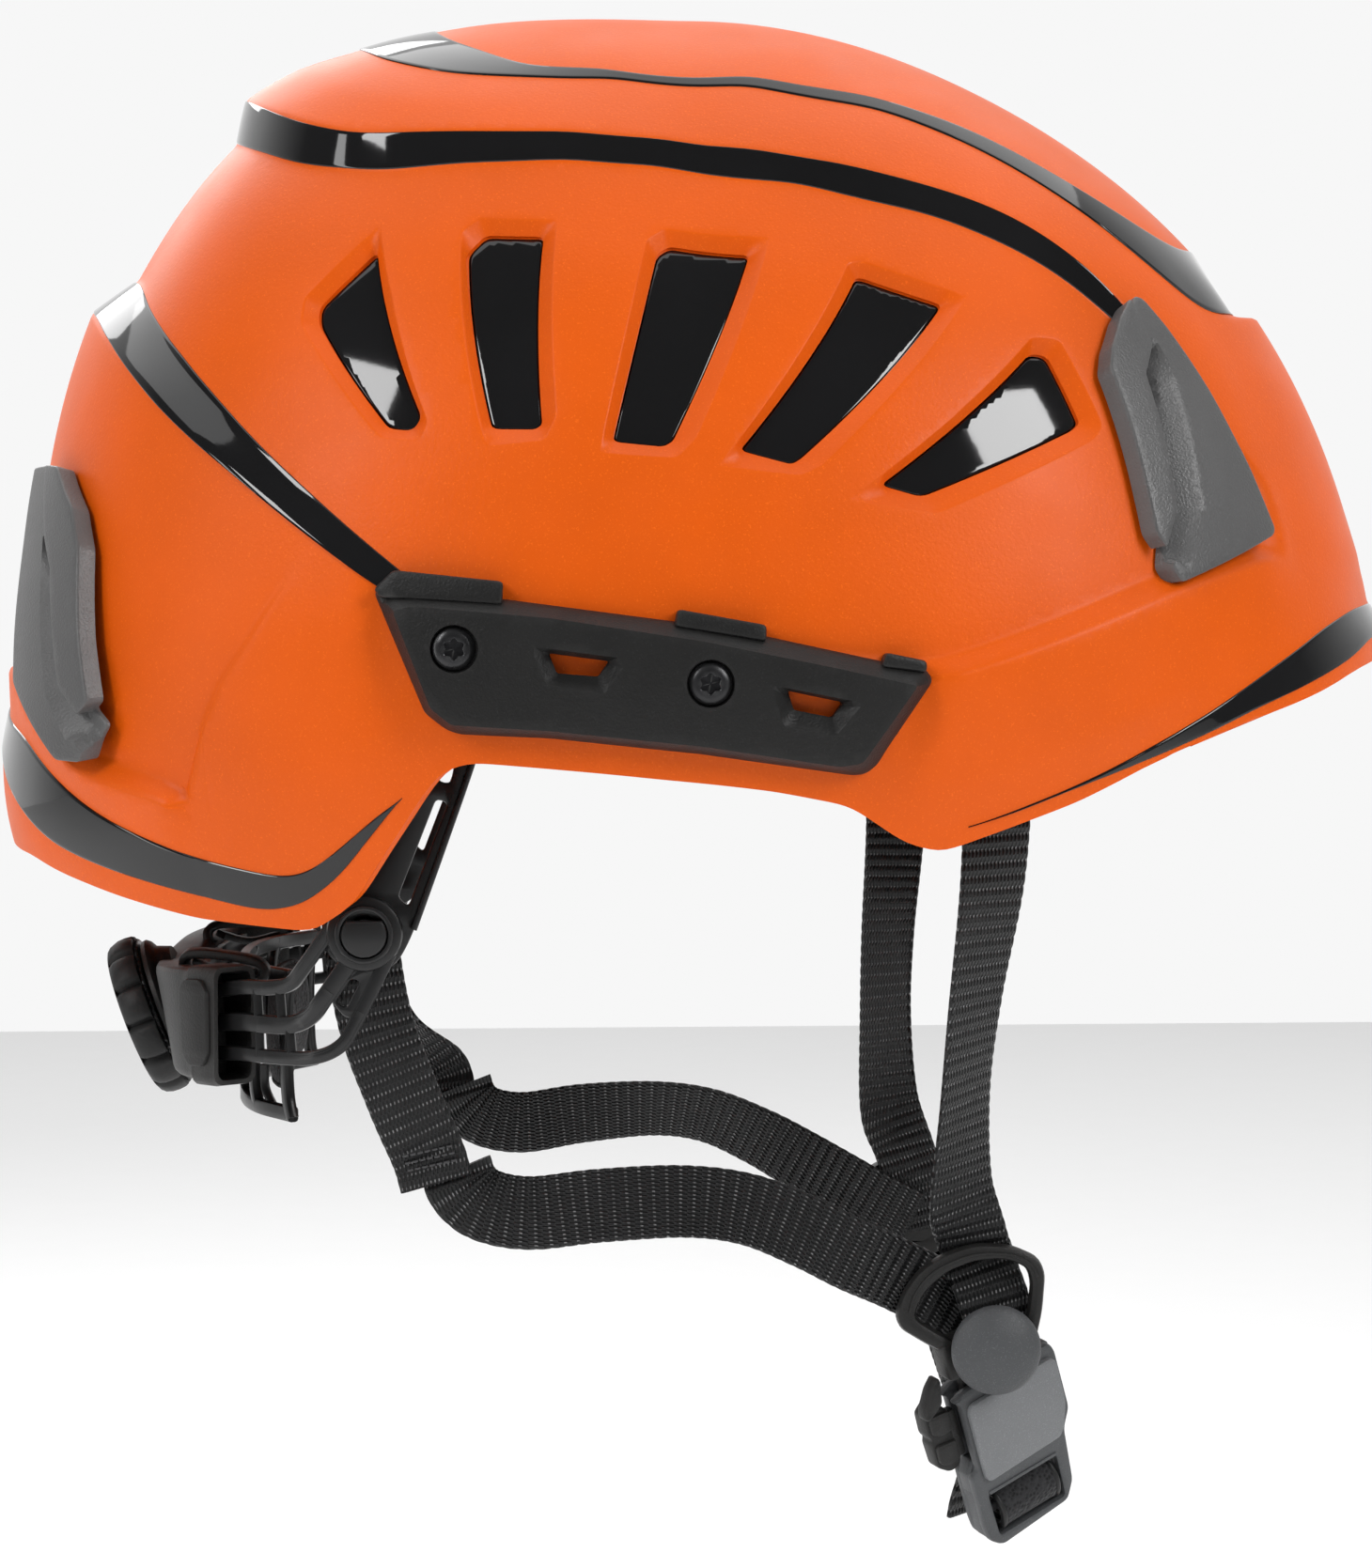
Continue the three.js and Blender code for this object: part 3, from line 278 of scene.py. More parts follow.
def make_materials():
    return {
        "webbing": webbing_material(),
        "padding": padding_material(),
        "thread": material("grey_thread", (0.05, 0.05, 0.052), 0.7, 0.2, 2500, 0.00008),
        "shell": material("orange_shell", (0.75, 0.102, 0.0015), 0.42, 0.04, 1500, 0.00005,
                          speck=(0.84, 0.14, 0.006),
                          specular=0.2),
        "gloss": material("gloss_black", (0.0045, 0.0045, 0.005), 0.05, 0.2, 500, 0.000004, coat=0.3,
                          specular=0.4),
        "matt": material("textured_grey", (0.013, 0.0128, 0.0125), 0.45, 0.12, 1900, 0.0001,
                         wear=(0.04, 0.039, 0.038), speck=(0.022, 0.022, 0.022), specular=0.25),
        "pad_face": material("speckled_grey", (0.066, 0.069, 0.073), 0.45, 0.1, 2600, 0.00014,
                             speck=(0.13, 0.135, 0.14), specular=0.35),
        "pad_light": material("speckled_light_grey", (0.17, 0.176, 0.183), 0.42, 0.08, 2600, 0.00014,
                              speck=(0.27, 0.275, 0.285), specular=0.4),
        "clip": material("clip_grey", (0.088, 0.087, 0.087), 0.4, 0.1, 2100, 0.00012,
                         wear=(0.13, 0.13, 0.13), speck=(0.11, 0.11, 0.11), specular=0.5),
        "case": material("case_grey", (0.07, 0.073, 0.077), 0.48, 0.1, 2600, 0.0001,
                         speck=(0.12, 0.122, 0.126), specular=0.35),
        "satin": material("satin_nylon", (0.009, 0.009, 0.0095), 0.3, 0.15, 700, 0.00002,
                          wear=(0.03, 0.03, 0.03),
                          specular=0.4),
        "rubber": material("grip_rubber", (0.015, 0.015, 0.015), 0.55, 0.15, 1300, 0.00006,
                           wear=(0.04, 0.04, 0.04), specular=0.3),
        "steel": material("blackened_steel", (0.02, 0.02, 0.022), 0.3, 0.2, 800, 0.00002, metallic=0.6,
                          wear=(0.12, 0.12, 0.12)),
        "foam": material("beaded_foam", (0.014, 0.014, 0.015), 0.75, 0.3, 500, 0.00015, specular=0.25),
    }


# ---------------------------------------------------------------- mesh making
def piece(name, points, faces, finish, body, nodes=(), slot=None, crease=32):
    """one closed piece from points in millimetres; it rides on a body and stands for some CAD nodes"""
    mesh = bpy.data.meshes.new(name)
    mesh.from_pydata((np.asarray(points, float) * MM).tolist(), [], [tuple(int(i) for i in f) for f in faces])
    return finish_piece(name, mesh, finish, body, nodes, crease)


def finish_piece(name, mesh, finish, body, nodes=(), crease=32):
    work = bmesh.new()
    work.from_mesh(mesh)
    bmesh.ops.remove_doubles(work, verts=work.verts, dist=2e-6)
    bmesh.ops.recalc_face_normals(work, faces=work.faces)
    work.to_mesh(mesh)
    work.free()
    mesh.materials.clear()
    mesh.materials.append(finish)
    mesh.shade_smooth()
    mesh.set_sharp_from_angle(angle=math.radians(crease))
    obj = bpy.data.objects.new(name, mesh)
    bpy.context.scene.collection.objects.link(obj)
    if body:
        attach(obj, body)
    if nodes:
        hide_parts(*nodes)
    return obj


class Parts:
    """several closed solids gathered into one mesh"""

    def __init__(self):
        self.points = []
        self.faces = []

    def add(self, points, faces):
        start = len(self.points)
        self.points.extend(np.asarray(points, float).tolist())
        self.faces.extend([tuple(int(i) + start for i in f) for f in faces])
        return self

    def mirrored(self):
        twin = Parts()
        twin.add(np.array(self.points) * (1, -1, 1), [tuple(reversed(f)) for f in self.faces])
        return twin


def grid_faces(rows, cols, start=0, loop=False, flip=False):
    faces = []
    for r in range(rows - 1):
        for c in range(cols if loop else cols - 1):
            d = (c + 1) % cols
            quad = (start + r * cols + c, start + r * cols + d, start + (r + 1) * cols + d,
                    start + (r + 1) * cols + c)
            faces.append(tuple(reversed(quad)) if flip else quad)
    return faces


def grid_solid(outer, inner, loop=False):
    """closed solid between two grids of points"""
    outer, inner = np.asarray(outer, float), np.asarray(inner, float)
    rows, cols = outer.shape[:2]
    total = rows * cols
    faces = grid_faces(rows, cols, 0, loop) + grid_faces(rows, cols, total, loop, True)
    for c in range(cols if loop else cols - 1):
        d = (c + 1) % cols
        last = (rows - 1) * cols
        faces.append((d, c, c + total, d + total))
        faces.append((last + c, last + d, last + d + total, last + c + total))
    if not loop:
        for r in range(rows - 1):
            a, b = r * cols, (r + 1) * cols
            faces.append((a, b, b + total, a + total))
            faces.append((b + cols - 1, a + cols - 1, a + cols - 1 + total, b + cols - 1 + total))
    return np.concatenate([outer.reshape(-1, 3), inner.reshape(-1, 3)]), faces


def smooth_path(points, steps):
    """points along a Catmull-Rom curve through a list of points of any dimension"""
    p = np.asarray(points, float)
    p = np.vstack([2 * p[0] - p[1], p, 2 * p[-1] - p[-2]])
    spans = len(p) - 3
    out = []
    for t in np.linspace(0, spans, steps):
        i = min(int(t), spans - 1)
        u = t - i
        a, b, c, d = p[i:i + 4]
        out.append(0.5 * (2 * b + (c - a) * u + (2 * a - 5 * b + 4 * c - d) * u * u
                          + (3 * b - a - 3 * c + d) * u ** 3))
    return np.array(out)


def norm(v):
    v = np.asarray(v, float)
    return v / np.maximum(np.linalg.norm(v, axis=-1, keepdims=True), 1e-9)


def sweep(path, sides, section, loop=False):
    """a closed bar: section points (across, out) at each point of the path; sides give the across direction"""
    path, sides = np.asarray(path, float), np.asarray(sides, float)
    tangent = norm(np.roll(path, -1, 0) - np.roll(path, 1, 0)) if loop else norm(np.gradient(path, axis=0))
    across = norm(sides - tangent * np.sum(sides * tangent, 1, keepdims=True))
    out = np.cross(tangent, across)
    section = np.asarray(section, float)
    if section.ndim == 2:
        section = np.broadcast_to(section, (len(path), *section.shape))
    ring = path[:, None] + across[:, None] * section[..., :1] + out[:, None] * section[..., 1:]
    rows, cols = ring.shape[:2]
    faces = grid_faces(rows, cols, 0, True)
    if loop:
        faces += [((rows - 1) * cols + c, (rows - 1) * cols + (c + 1) % cols, (c + 1) % cols, c)
                  for c in range(cols)]
    else:
        faces += [tuple(reversed(range(cols))), tuple(range((rows - 1) * cols, rows * cols))]
    return ring.reshape(-1, 3), faces


def round_rect(width, height, radius, steps=3):
    """outline of a rounded rectangle, anticlockwise"""
    points = []
    for cx, cy, start in ((1, -1, -90), (1, 1, 0), (-1, 1, 90), (-1, -1, 180)):
        for i in range(steps + 1):
            a = math.radians(start + 90 * i / steps)
            points.append((cx * (width / 2 - radius) + radius * math.cos(a),
                           cy * (height / 2 - radius) + radius * math.sin(a)))
    return points


def lathe(profile, sides, origin, axis, lobes=None):
    """solid turned about an axis; profile points are (radius, distance along the axis)"""
    axis = norm(axis)
    first = norm(np.cross(axis, (0, 1, 0) if abs(axis[1]) < 0.9 else (1, 0, 0)))
    second = np.cross(axis, first)
    points, faces = [], []
    for radius, along in profile:
        for k in range(sides):
            a = 2 * math.pi * k / sides
            r = lobes(radius, along, a) if lobes else radius
            points.append(np.asarray(origin) + axis * along + first * r * math.cos(a) + second * r * math.sin(a))
    faces = grid_faces(len(profile), sides, 0, True)
    faces += [tuple(reversed(range(sides))), tuple(range((len(profile) - 1) * sides, len(profile) * sides))]
    return points, faces


def arc_round(outline, radius, steps=4):
    """an outline with its corners rounded; radius is one value, or one for each corner"""
    count = len(outline)
    radii = radius if hasattr(radius, "__len__") else [radius] * count
    out = []
    for i in range(count):
        p = np.array(outline[i], float)
        a = np.array(outline[i - 1], float) - p
        b = np.array(outline[(i + 1) % count], float) - p
        reach = min(radii[i], 0.45 * np.linalg.norm(a), 0.45 * np.linalg.norm(b))
        start, end = p + a / np.linalg.norm(a) * reach, p + b / np.linalg.norm(b) * reach
        for k in range(steps + 1):
            t = k / steps
            out.append(tuple(start * (1 - t) ** 2 + 2 * p * t * (1 - t) + end * t * t))
    return out


def plate(outline, thickness, bevel, place, holes=()):
    """a flat plate with rounded edges; place turns (u, v, w) into a point, w from 0 to the thickness"""
    curve = bpy.data.curves.new("plate", "CURVE")
    curve.dimensions = "2D"
    curve.fill_mode = "BOTH"
    for ring in (outline, *holes):
        spline = curve.splines.new("POLY")
        spline.points.add(len(ring) - 1)
        for point, (u, v) in zip(spline.points, ring):
            point.co = (u, v, 0, 1)
        spline.use_cyclic_u = True
    curve.extrude = thickness / 2 - bevel
    curve.bevel_depth = bevel
    curve.bevel_resolution = 1
    curve.offset = -bevel
    obj = bpy.data.objects.new("plate", curve)
    mesh = bpy.data.meshes.new_from_object(obj)
    work = bmesh.new()
    work.from_mesh(mesh)
    bmesh.ops.remove_doubles(work, verts=work.verts, dist=1e-3)
    work.verts.index_update()
    points = [place(v.co.x, v.co.y, v.co.z + thickness / 2) for v in work.verts]
    faces = [tuple(v.index for v in f.verts) for f in work.faces]
    work.free()
    bpy.data.objects.remove(obj)
    bpy.data.curves.remove(curve)
    bpy.data.meshes.remove(mesh)
    return points, faces


def side_plane(near):
    """place for a plate in the x-z plane whose outer face is at y = near, on the wearer's right"""
    return lambda u, v, w: (u, near + w, v)


# ---------------------------------------------------------------- flat regions filled with triangles
def inside(points, ring):
    x, y = points[:, 0], points[:, 1]
    found = np.zeros(len(points), bool)
    ring = np.asarray(ring, float)
    for (x0, y0), (x1, y1) in zip(ring, np.roll(ring, -1, 0)):
        if y0 != y1:
            crosses = ((y0 > y) != (y1 > y)) & (x < (x1 - x0) * (y - y0) / (y1 - y0) + x0)
            found ^= crosses
    return found


def edge_distance(points, ring):
    """distance to the nearest edge of a ring"""
    best = np.full(len(points), 1e9)
    ring = np.asarray(ring, float)
    for p, q in zip(ring, np.roll(ring, -1, 0)):
        d = q - p
        t = np.clip(((points - p) @ d) / max(d @ d, 1e-12), 0, 1)
        best = np.minimum(best, np.linalg.norm(points - p - t[:, None] * d, axis=1))
    return best


def inset(ring, by):
    """a ring moved inwards (outwards when negative), corner by corner"""
    ring = np.asarray(ring, float)
    area = np.sum(ring[:, 0] * np.roll(ring[:, 1], -1) - np.roll(ring[:, 0], -1) * ring[:, 1])
    turn = 1 if area > 0 else -1
    before, after = norm(ring - np.roll(ring, 1, 0)), norm(np.roll(ring, -1, 0) - ring)
    normal = lambda d: np.stack([-d[:, 1], d[:, 0]], 1) * turn
    bisector = norm(normal(before) + normal(after))
    stretch = np.clip(np.sum(bisector * normal(before), 1, keepdims=True), 0.45, 1)
    return ring + bisector / stretch * by


def resample(line, spacing, closed):
    line = np.asarray(line, float)
    if closed:
        line = np.vstack([line, line[:1]])
    out = []
    for p, q in zip(line[:-1], line[1:]):
        count = max(1, int(math.ceil(np.linalg.norm(q - p) / spacing)))
        out.extend(p + (q - p) * k / count for k in range(count))
    if not closed:
        out.append(line[-1])
    return np.array(out)


def triangulate(rings, lines, loose, keep, clear):
    """Delaunay triangles that follow closed rings and open lines; loose points too near to them are left out"""
    points, edges = [], []
    for chain, closed in [(r, True) for r in rings] + [(c, False) for c in lines]:
        start = len(points)
        points.extend(chain)
        count = len(chain)
        edges.extend((start + i, start + (i + 1) % count) for i in range(count if closed else count - 1))
    tree = kdtree.KDTree(len(points))
    for i, p in enumerate(points):
        tree.insert((p[0], p[1], 0), i)
    tree.balance()
    loose = [p for p in loose if tree.find((p[0], p[1], 0))[2] > clear]
    result = geometry.delaunay_2d_cdt([Vector((p[0], p[1])) for p in [*points, *loose]], edges, [], 0, 1e-5,
                                      False)
    flat = np.array([tuple(v) for v in result[0]], float)
    faces = np.array([tuple(f) for f in result[2] if len(f) == 3], int)
    faces = faces[keep(flat[faces].mean(1))]
    used = np.unique(faces)
    index = np.full(len(flat), -1)
    index[used] = np.arange(len(used))
    faces = index[faces]
    flat = flat[used]
    a, b, c = flat[faces[:, 0]], flat[faces[:, 1]], flat[faces[:, 2]]
    area = (b[:, 0] - a[:, 0]) * (c[:, 1] - a[:, 1]) - (b[:, 1] - a[:, 1]) * (c[:, 0] - a[:, 0])
    faces[area < 0] = faces[area < 0][:, ::-1]
    return flat, faces[np.abs(area) > 2e-5]


def outline_edges(faces):
    directed = {(a, b) for f in faces for a, b in zip(f, (*f[1:], f[0]))}
    return [(a, b) for a, b in directed if (b, a) not in directed]


def thick(faces, top, bottom, bulge=0.0, rings=0):
    """closed solid between two copies of a triangulated patch; its edges can be rounded outwards"""
    top, bottom = np.asarray(top, float), np.asarray(bottom, float)
    faces = [tuple(int(i) for i in f) for f in faces]
    count = len(top)
    border = outline_edges(faces)
    step_in, step_out = {b: a for a, b in border}, {a: b for a, b in border}
    layers = [{i: i for i in step_out}]
    extra = []
    for k in range(1, rings + 1):
        t = k / (rings + 1)
        layer = {}
        for i in step_out:
            along = norm(top[step_out[i]] - top[step_in[i]])
            away = np.cross(along, norm(top[i] - bottom[i]))
            layer[i] = 2 * count + len(extra)
            extra.append(top[i] * (1 - t) + bottom[i] * t + away * bulge * math.sin(math.pi * t))
        layers.append(layer)
    layers.append({i: i + count for i in step_out})
    solid = faces + [(c + count, b + count, a + count) for a, b, c in faces]
    for upper, lower in zip(layers[:-1], layers[1:]):
        solid += [(upper[b], upper[a], lower[a], lower[b]) for a, b in border]
    points = np.vstack([top, bottom] + ([np.array(extra)] if extra else []))
    return points, solid


def round_over(distance, radius):
    """how far a rounded edge falls at a distance in from it"""
    d = np.clip(distance, 0, radius)
    return radius - np.sqrt(np.maximum(radius ** 2 - (radius - d) ** 2, 0))


def relief(outline, top, bottom, spacing=1.6, radius=0.6, holes=(), creases=(), lines=()):
    """a solid over a flat outline; top and bottom turn flat points into places in space"""
    outline = np.asarray(outline, float)
    rings = [resample(outline, spacing, True)]
    rings += [resample(inset(outline, radius * share), spacing, True) for share in (0.1, 0.4, 1.0)]
    for hole in holes:
        rings.append(resample(hole, spacing / 2, True))
        rings += [resample(inset(hole, -radius * share), spacing, True) for share in (0.15, 0.5)]
    rings += [resample(c, spacing, True) for c in creases]
    low, high = outline.min(0), outline.max(0)
    across = np.arange(low[0], high[0], spacing)
    up = np.arange(low[1], high[1], spacing * 0.87)
    loose = np.array([(u + (spacing / 2 if j % 2 else 0), v) for j, v in enumerate(up) for u in across])
    loose = loose[inside(loose, outline)]

    def keep(centres):
        kept = inside(centres, outline)
        for hole in holes:
            kept &= ~inside(centres, hole)
        return kept

    flat, faces = triangulate(rings, [resample(c, spacing, False) for c in lines], loose, keep,
                              spacing * 0.45)
    if np.linalg.norm(top(flat[:1]) - bottom(flat[:1])) == 0:
        raise ValueError("relief without thickness")
    return thick(faces, top(flat), bottom(flat))


# ---------------------------------------------------------------- the shell's surface
def hermite(points):
    """smooth curve through points, with the slopes that the CAD uses"""
    xs, ys = np.array(points, float).T
    slope = np.zeros(len(xs))
    slope[1:-1] = (ys[2:] - ys[:-2]) / (xs[2:] - xs[:-2])
    slope[0] = (ys[1] - ys[0]) / (xs[1] - xs[0])

    def value(x):
        x = np.clip(x, xs[0], xs[-1])
        i = np.clip(np.searchsorted(xs, x, side="right") - 1, 0, len(xs) - 2)
        width = xs[i + 1] - xs[i]
        t = (x - xs[i]) / width
        rise = t * t * (3 - 2 * t)
        return (ys[i] * (1 - rise) + ys[i + 1] * rise
                + width * t * (1 - t) * (slope[i] * (1 - t) - slope[i + 1] * t))
    return value


def feature(points, soft=1.1):
    """a feature line: elevation against azimuth, with its corners rounded"""
    xs, ys = np.array(points, float).T
    fine = np.arange(-20, 200.01, 0.25)
    folded = np.abs(fine)
    folded = np.where(folded > 180, 360 - folded, folded)
    raw = np.interp(folded, xs, ys)
    reach = np.arange(-40, 41)
    kernel = np.exp(-0.5 * (reach * 0.25 / soft) ** 2)
    smooth = np.convolve(np.pad(raw, 40, mode="edge"), kernel / kernel.sum(), mode="valid")
    return lambda a: np.interp(a, fine, smooth)


def fade(value, full, none):
    """1 at full, 0 at none, smooth between"""
    t = np.clip((np.asarray(value, float) - none) / (full - none), 0, 1)
    return t * t * (3 - 2 * t)


FRONT = hermite([(-30, 136), (-12, 143), (0, 143.5), (12, 139.5), (32, 136), (60, 131.8), (90, 132.6)])
REAR = hermite([(-30, 140), (-16, 146.5), (0, 141), (10, 139), (30, 141), (50, 145), (62, 142.2), (80, 134.6),
                (90, 132.6)])
SIDE = hermite([(-35, 110), (-20, 106.5), (0, 104.5), (15, 104.5), (45, 112), (60, 119.5), (75, 128),
                (90, 132.6)])
RIM = feature([(0, -0.1), (15, -0.2), (23, -1.5), (29, -3.4), (37, -5.8), (44, -8.7), (53, -13.8), (60, -17),
               (66, -19.7), (70, -18.9), (76, -15.4), (84, -14.1), (96, -12.8), (115, -10.4), (118, -11.3),
               (122, -16.5), (128, -23.3), (133, -25.5), (144, -23.1), (156, -18.8), (164, -16.4),
               (180, -15)])
BRIM_LOW = feature([(0, 0.9), (19, 1.0), (23, -0.5), (29, -2.4), (36, -4.8), (48, -10.4), (54, -13.0),
                    (60, -16),
                    (66, -18.5), (70, -17.7), (76, -14.4), (115, -9.3), (122, -14.2), (128.5, -20.6),
                    (133, -23.0), (137, -23.2), (144, -20.8), (159, -15.4), (173, -8), (180, -7.5)], 1.5)
BRIM_HIGH = feature([(0, 4), (15, 4), (21, 3.6), (27, 2.2), (34, -0.9), (39, -3.7), (48, -9.1), (54, -12.3),
                     (60, -15), (66, -17.3), (70, -16.5), (76, -13.2), (115, -8.2), (122, -13.4),
                     (126, -16.2),
                     (130, -18.9), (133, -20.2), (143, -17), (152, -12.7), (163, -6.6), (180, -3.8)], 1.9)
SHELF = feature([(140, -14), (143, -11.3), (152, -8.8), (165, -2.2), (172, -0.8), (180, -0.6)])
STEP_LOW = feature([(0, 8.0), (30, 8.0), (36, 7.6), (45, 5.3), (58, 0.7), (68, -2.6), (90, 0.4), (118, 3.2),
                    (124, 7.1), (128, 9.7), (138, 16), (151, 22.9), (165, 28), (180, 30)], 2.2)
STEP_HIGH = feature([(0, 9.0), (30, 9.0), (36, 9.2), (45, 7.1), (58, 2.5), (68, -0.8), (90, 1.8), (118, 4.6),
                     (123, 8.3), (132.5, 15.1), (143.5, 22.3), (158, 30.1), (165, 32.8), (180, 34)], 2.2)
CROWN_LOW = feature([(0, 12.5), (29, 12.5), (33, 13), (36, 19), (40, 31), (43.3, 35.3), (47, 39.5),
                     (56.5, 46.1),
                     (75, 52.6), (98, 55.2), (113, 54.1), (128, 50.3), (137, 47.1), (148, 45.8), (163, 46.8),
                     (180, 48.5)], 3.2)
CROWN_HIGH = feature([(0, 13.7), (29, 13.7), (32, 14.5), (35, 20.5), (39.5, 32.4), (41.5, 36.1), (44.6, 41),
                      (50.5, 45.9), (58, 49.6), (68, 53.3), (82, 56.4), (98, 57.5), (113, 56.2), (129, 52.2),
                      (140.5, 48.9), (150, 48.7), (172, 50.8), (180, 51.4)], 3.2)
TOP_LOW = feature([(0, 30.3), (20, 29.9), (29, 29.4), (31.5, 33), (34.2, 38.3), (36.8, 44.7), (44.5, 52.8),
                   (55, 59.5), (79, 65.3), (110, 65.2), (125, 62.2), (138, 58.8), (150, 58.2), (180, 61.2)],
                  3.6)
TOP_HIGH = feature([(0, 38.3), (20, 37.6), (25.4, 37.3), (29.7, 41.4), (33.3, 45.7), (41.4, 54.8), (54, 61.8),
                    (78, 67.2), (113, 66.8), (128, 64.2), (137, 64.6), (149, 65.1), (180, 68.8)], 3.6)
BRIM_FLARE, REAR_BRIM, BROW_STEP, REAR_STEP, TOP_STEP = 8.5, 4.4, 3.4, 5.4, 3.0
CROWN_STEP, CROWN_STEP_REAR, NOTCH = 2.6, 3.2, 2.7
SHELL_WALL = 2.9
SOFT = 0.32          # degrees over which a crease of the shell is rounded


def base_radius(a, e):
    c, s = np.cos(np.radians(a)), np.abs(np.sin(np.radians(a)))
    along = np.where(c >= 0, FRONT(e), REAR(e))
    power = 2 + 0.35 * np.cos(np.radians(e)) ** 2
    return ((np.abs(c) / along) ** power + (s / SIDE(e)) ** power) ** (-1 / power)


def surface(a, e, h):
    """points at azimuth, elevation and height over the base surface; positive azimuth is the wearer's right"""
    a, e = np.asarray(a, float), np.asarray(e, float)
    r = base_radius(np.abs(a), e) + h
    ar, er = np.radians(a), np.radians(e)
    return np.stack([r * np.cos(er) * np.cos(ar), -r * np.cos(er) * np.sin(ar), CENTRE_Z + r * np.sin(er)],
                    -1)


def crown_height(a, e):
    rear = np.maximum(0, -np.cos(np.radians(a)))
    bulge = NOTCH * fade(a, 14, 29) * fade(e, 31.2, 33.5)
    return CROWN_STEP + CROWN_STEP_REAR * rear * fade(e, 52, 66) + bulge


def step_height(a):
    rear = REAR_STEP * (1 - fade(a, 120, 175)) + 2 * (1 - fade(a, 120, 126)) * fade(a, 126, 175)
    front = BROW_STEP * fade(a, 66, 72) + (crown_height(a, 10) - BROW_STEP) * fade(a, 28, 34)
    return np.maximum(np.maximum(rear, front), 1)


def shell_rows(a, sunk_panel):
    """elevations and heights of the breaks in the shell's section at each azimuth, from the rim up;
    the rear panel that holds the lamp clip is sunk or not"""
    blend = lambda p, q, t: p + (q - p) * t
    brim = np.maximum(np.maximum(BRIM_FLARE * fade(a, 0, 60), REAR_BRIM * (1 - fade(a, 128, 175))), 1)
    low, step = BRIM_HIGH(a), STEP_LOW(a)
    recess = 1.0 if sunk_panel else 0.0
    shelf = np.minimum(SHELF(a) - 0.8, blend(low, step, 0.5)) if sunk_panel else blend(low, step, 0.3)
    lower = blend(brim * 0.5 + 1, step_height(a), 0.3)
    middle_height = step_height(a) * fade(a, 30, 33)
    top, plate_edge = TOP_LOW(a), TOP_HIGH(a)
    sunk = 2.6 * fade(a, 14, 27)
    rows = [
        (RIM(a), brim), (BRIM_LOW(a), brim), (low, brim * 0.5 + np.minimum(brim, 2) * 0.5),
        (shelf, blend(lower, 4.4, recess)), (shelf + 1.1, blend(lower, 0.2, recess)),
        (step, step_height(a)), (STEP_HIGH(a), middle_height), (CROWN_LOW(a), middle_height),
        (CROWN_HIGH(a), crown_height(a, CROWN_HIGH(a))),
        (blend(CROWN_HIGH(a), top, 0.5), crown_height(a, blend(CROWN_HIGH(a), top, 0.5))),
        (top - 0.2, crown_height(a, top - 0.2)),
        (top + 0.6, crown_height(a, top) * fade(a, 29, 14) + (TOP_STEP - sunk) * fade(a, 14, 29)),
        (plate_edge, TOP_STEP + 0 * a), (90 + 0 * a, TOP_STEP + 0 * a),
    ]
    return np.stack([np.broadcast_to(r[0], np.shape(a)) for r in rows], -1), \
        np.stack([np.broadcast_to(r[1], np.shape(a)) for r in rows], -1)


CREASED = (1, 2, 3, 4, 5, 6, 7, 8, 10, 11, 12)     # the rows that are creases


RECESS_SIDE = [(125.0, 17.0), (135.1, 0.8), (137.4, -2.4), (139.1, -6.0), (140.5, -9.6), (141.6, -12.0),
               (143.5, -16.0)]


def recess_share(a, e):
    """1 inside the sunk rear panel, 0 in front of its slanted side"""
    es, edge = [p[1] for p in RECESS_SIDE[::-1]], [p[0] for p in RECESS_SIDE[::-1]]
    return fade(a - np.interp(e, es, edge), 0.7, -0.2)


def section_height(a, e):
    """height over the base surface, with the rear panel sunk behind its slanted side"""
    a, e = np.asarray(a, float), np.asarray(e, float) + 0 * np.asarray(a, float)
    share = recess_share(a, e)
    return rounded_section(a, e, False) * (1 - share) + rounded_section(a, e, True) * share


def rounded_section(a, e, sunk_panel):
    """height of one section, each crease rounded by averaging over a short span of elevation"""
    at, height = shell_rows(a, sunk_panel)
    width = np.maximum(np.diff(at, axis=-1), 1e-6)
    slope = np.diff(height, axis=-1) / width

    def total(x):
        into = np.clip(x[..., None] - at[..., :-1], 0, width)
        whole = (height[..., :-1] * into + 0.5 * slope * into ** 2).sum(-1)
        return whole + np.minimum(x - at[..., 0], 0) * height[..., 0] + np.maximum(x - 90, 0) * TOP_STEP
    return (total(e + SOFT) - total(e - SOFT)) / (2 * SOFT)


# vents: inner window and outer edge of the sunk border, as azimuth and elevation
VENTS = [
    ([(132.9, 39.6), (136.7, 32.9), (136.0, 31.2), (125.5, 21.9), (123.0, 22.0), (122.3, 23.4)],
     [(132.9, 41.7), (137.6, 33.0), (136.9, 30.6), (125.4, 20.6), (121.4, 20.6), (120.9, 22.6),
      (128.2, 34.9)]),
    ([(122.3, 41.5), (121.0, 44.0), (113.5, 45.3), (109.5, 24.0), (110.2, 23.4), (114.9, 23.0)],
     [(123.1, 43.0), (121.4, 45.0), (111.6, 46.5), (107.6, 24.6), (108.7, 21.8), (114.7, 20.7)]),
    ([(97.6, 45.0), (95.8, 46.2), (84.1, 45.1), (94.8, 23.0), (95.9, 22.4), (101.7, 22.7)],
     [(98.9, 45.6), (96.4, 47.2), (81.3, 46.0), (92.2, 22.8), (94.3, 20.7), (102.7, 20.9)]),
    ([(70.1, 41.0), (69.2, 40.9), (60.2, 36.5), (80.2, 21.0), (81.3, 20.4), (87.2, 22.1)],
     [(71.3, 42.0), (69.4, 42.0), (57.8, 36.4), (78.4, 19.6), (80.6, 18.7), (89.7, 19.9)]),
    ([(51.9, 29.9), (50.0, 29.4), (48.8, 22.2), (49.8, 21.6), (67.4, 16.2), (71.7, 17.7)],
     [(52.1, 31.0), (49.0, 30.4), (47.4, 21.4), (48.7, 20.2), (66.6, 14.1), (75.7, 16.0)]),
]
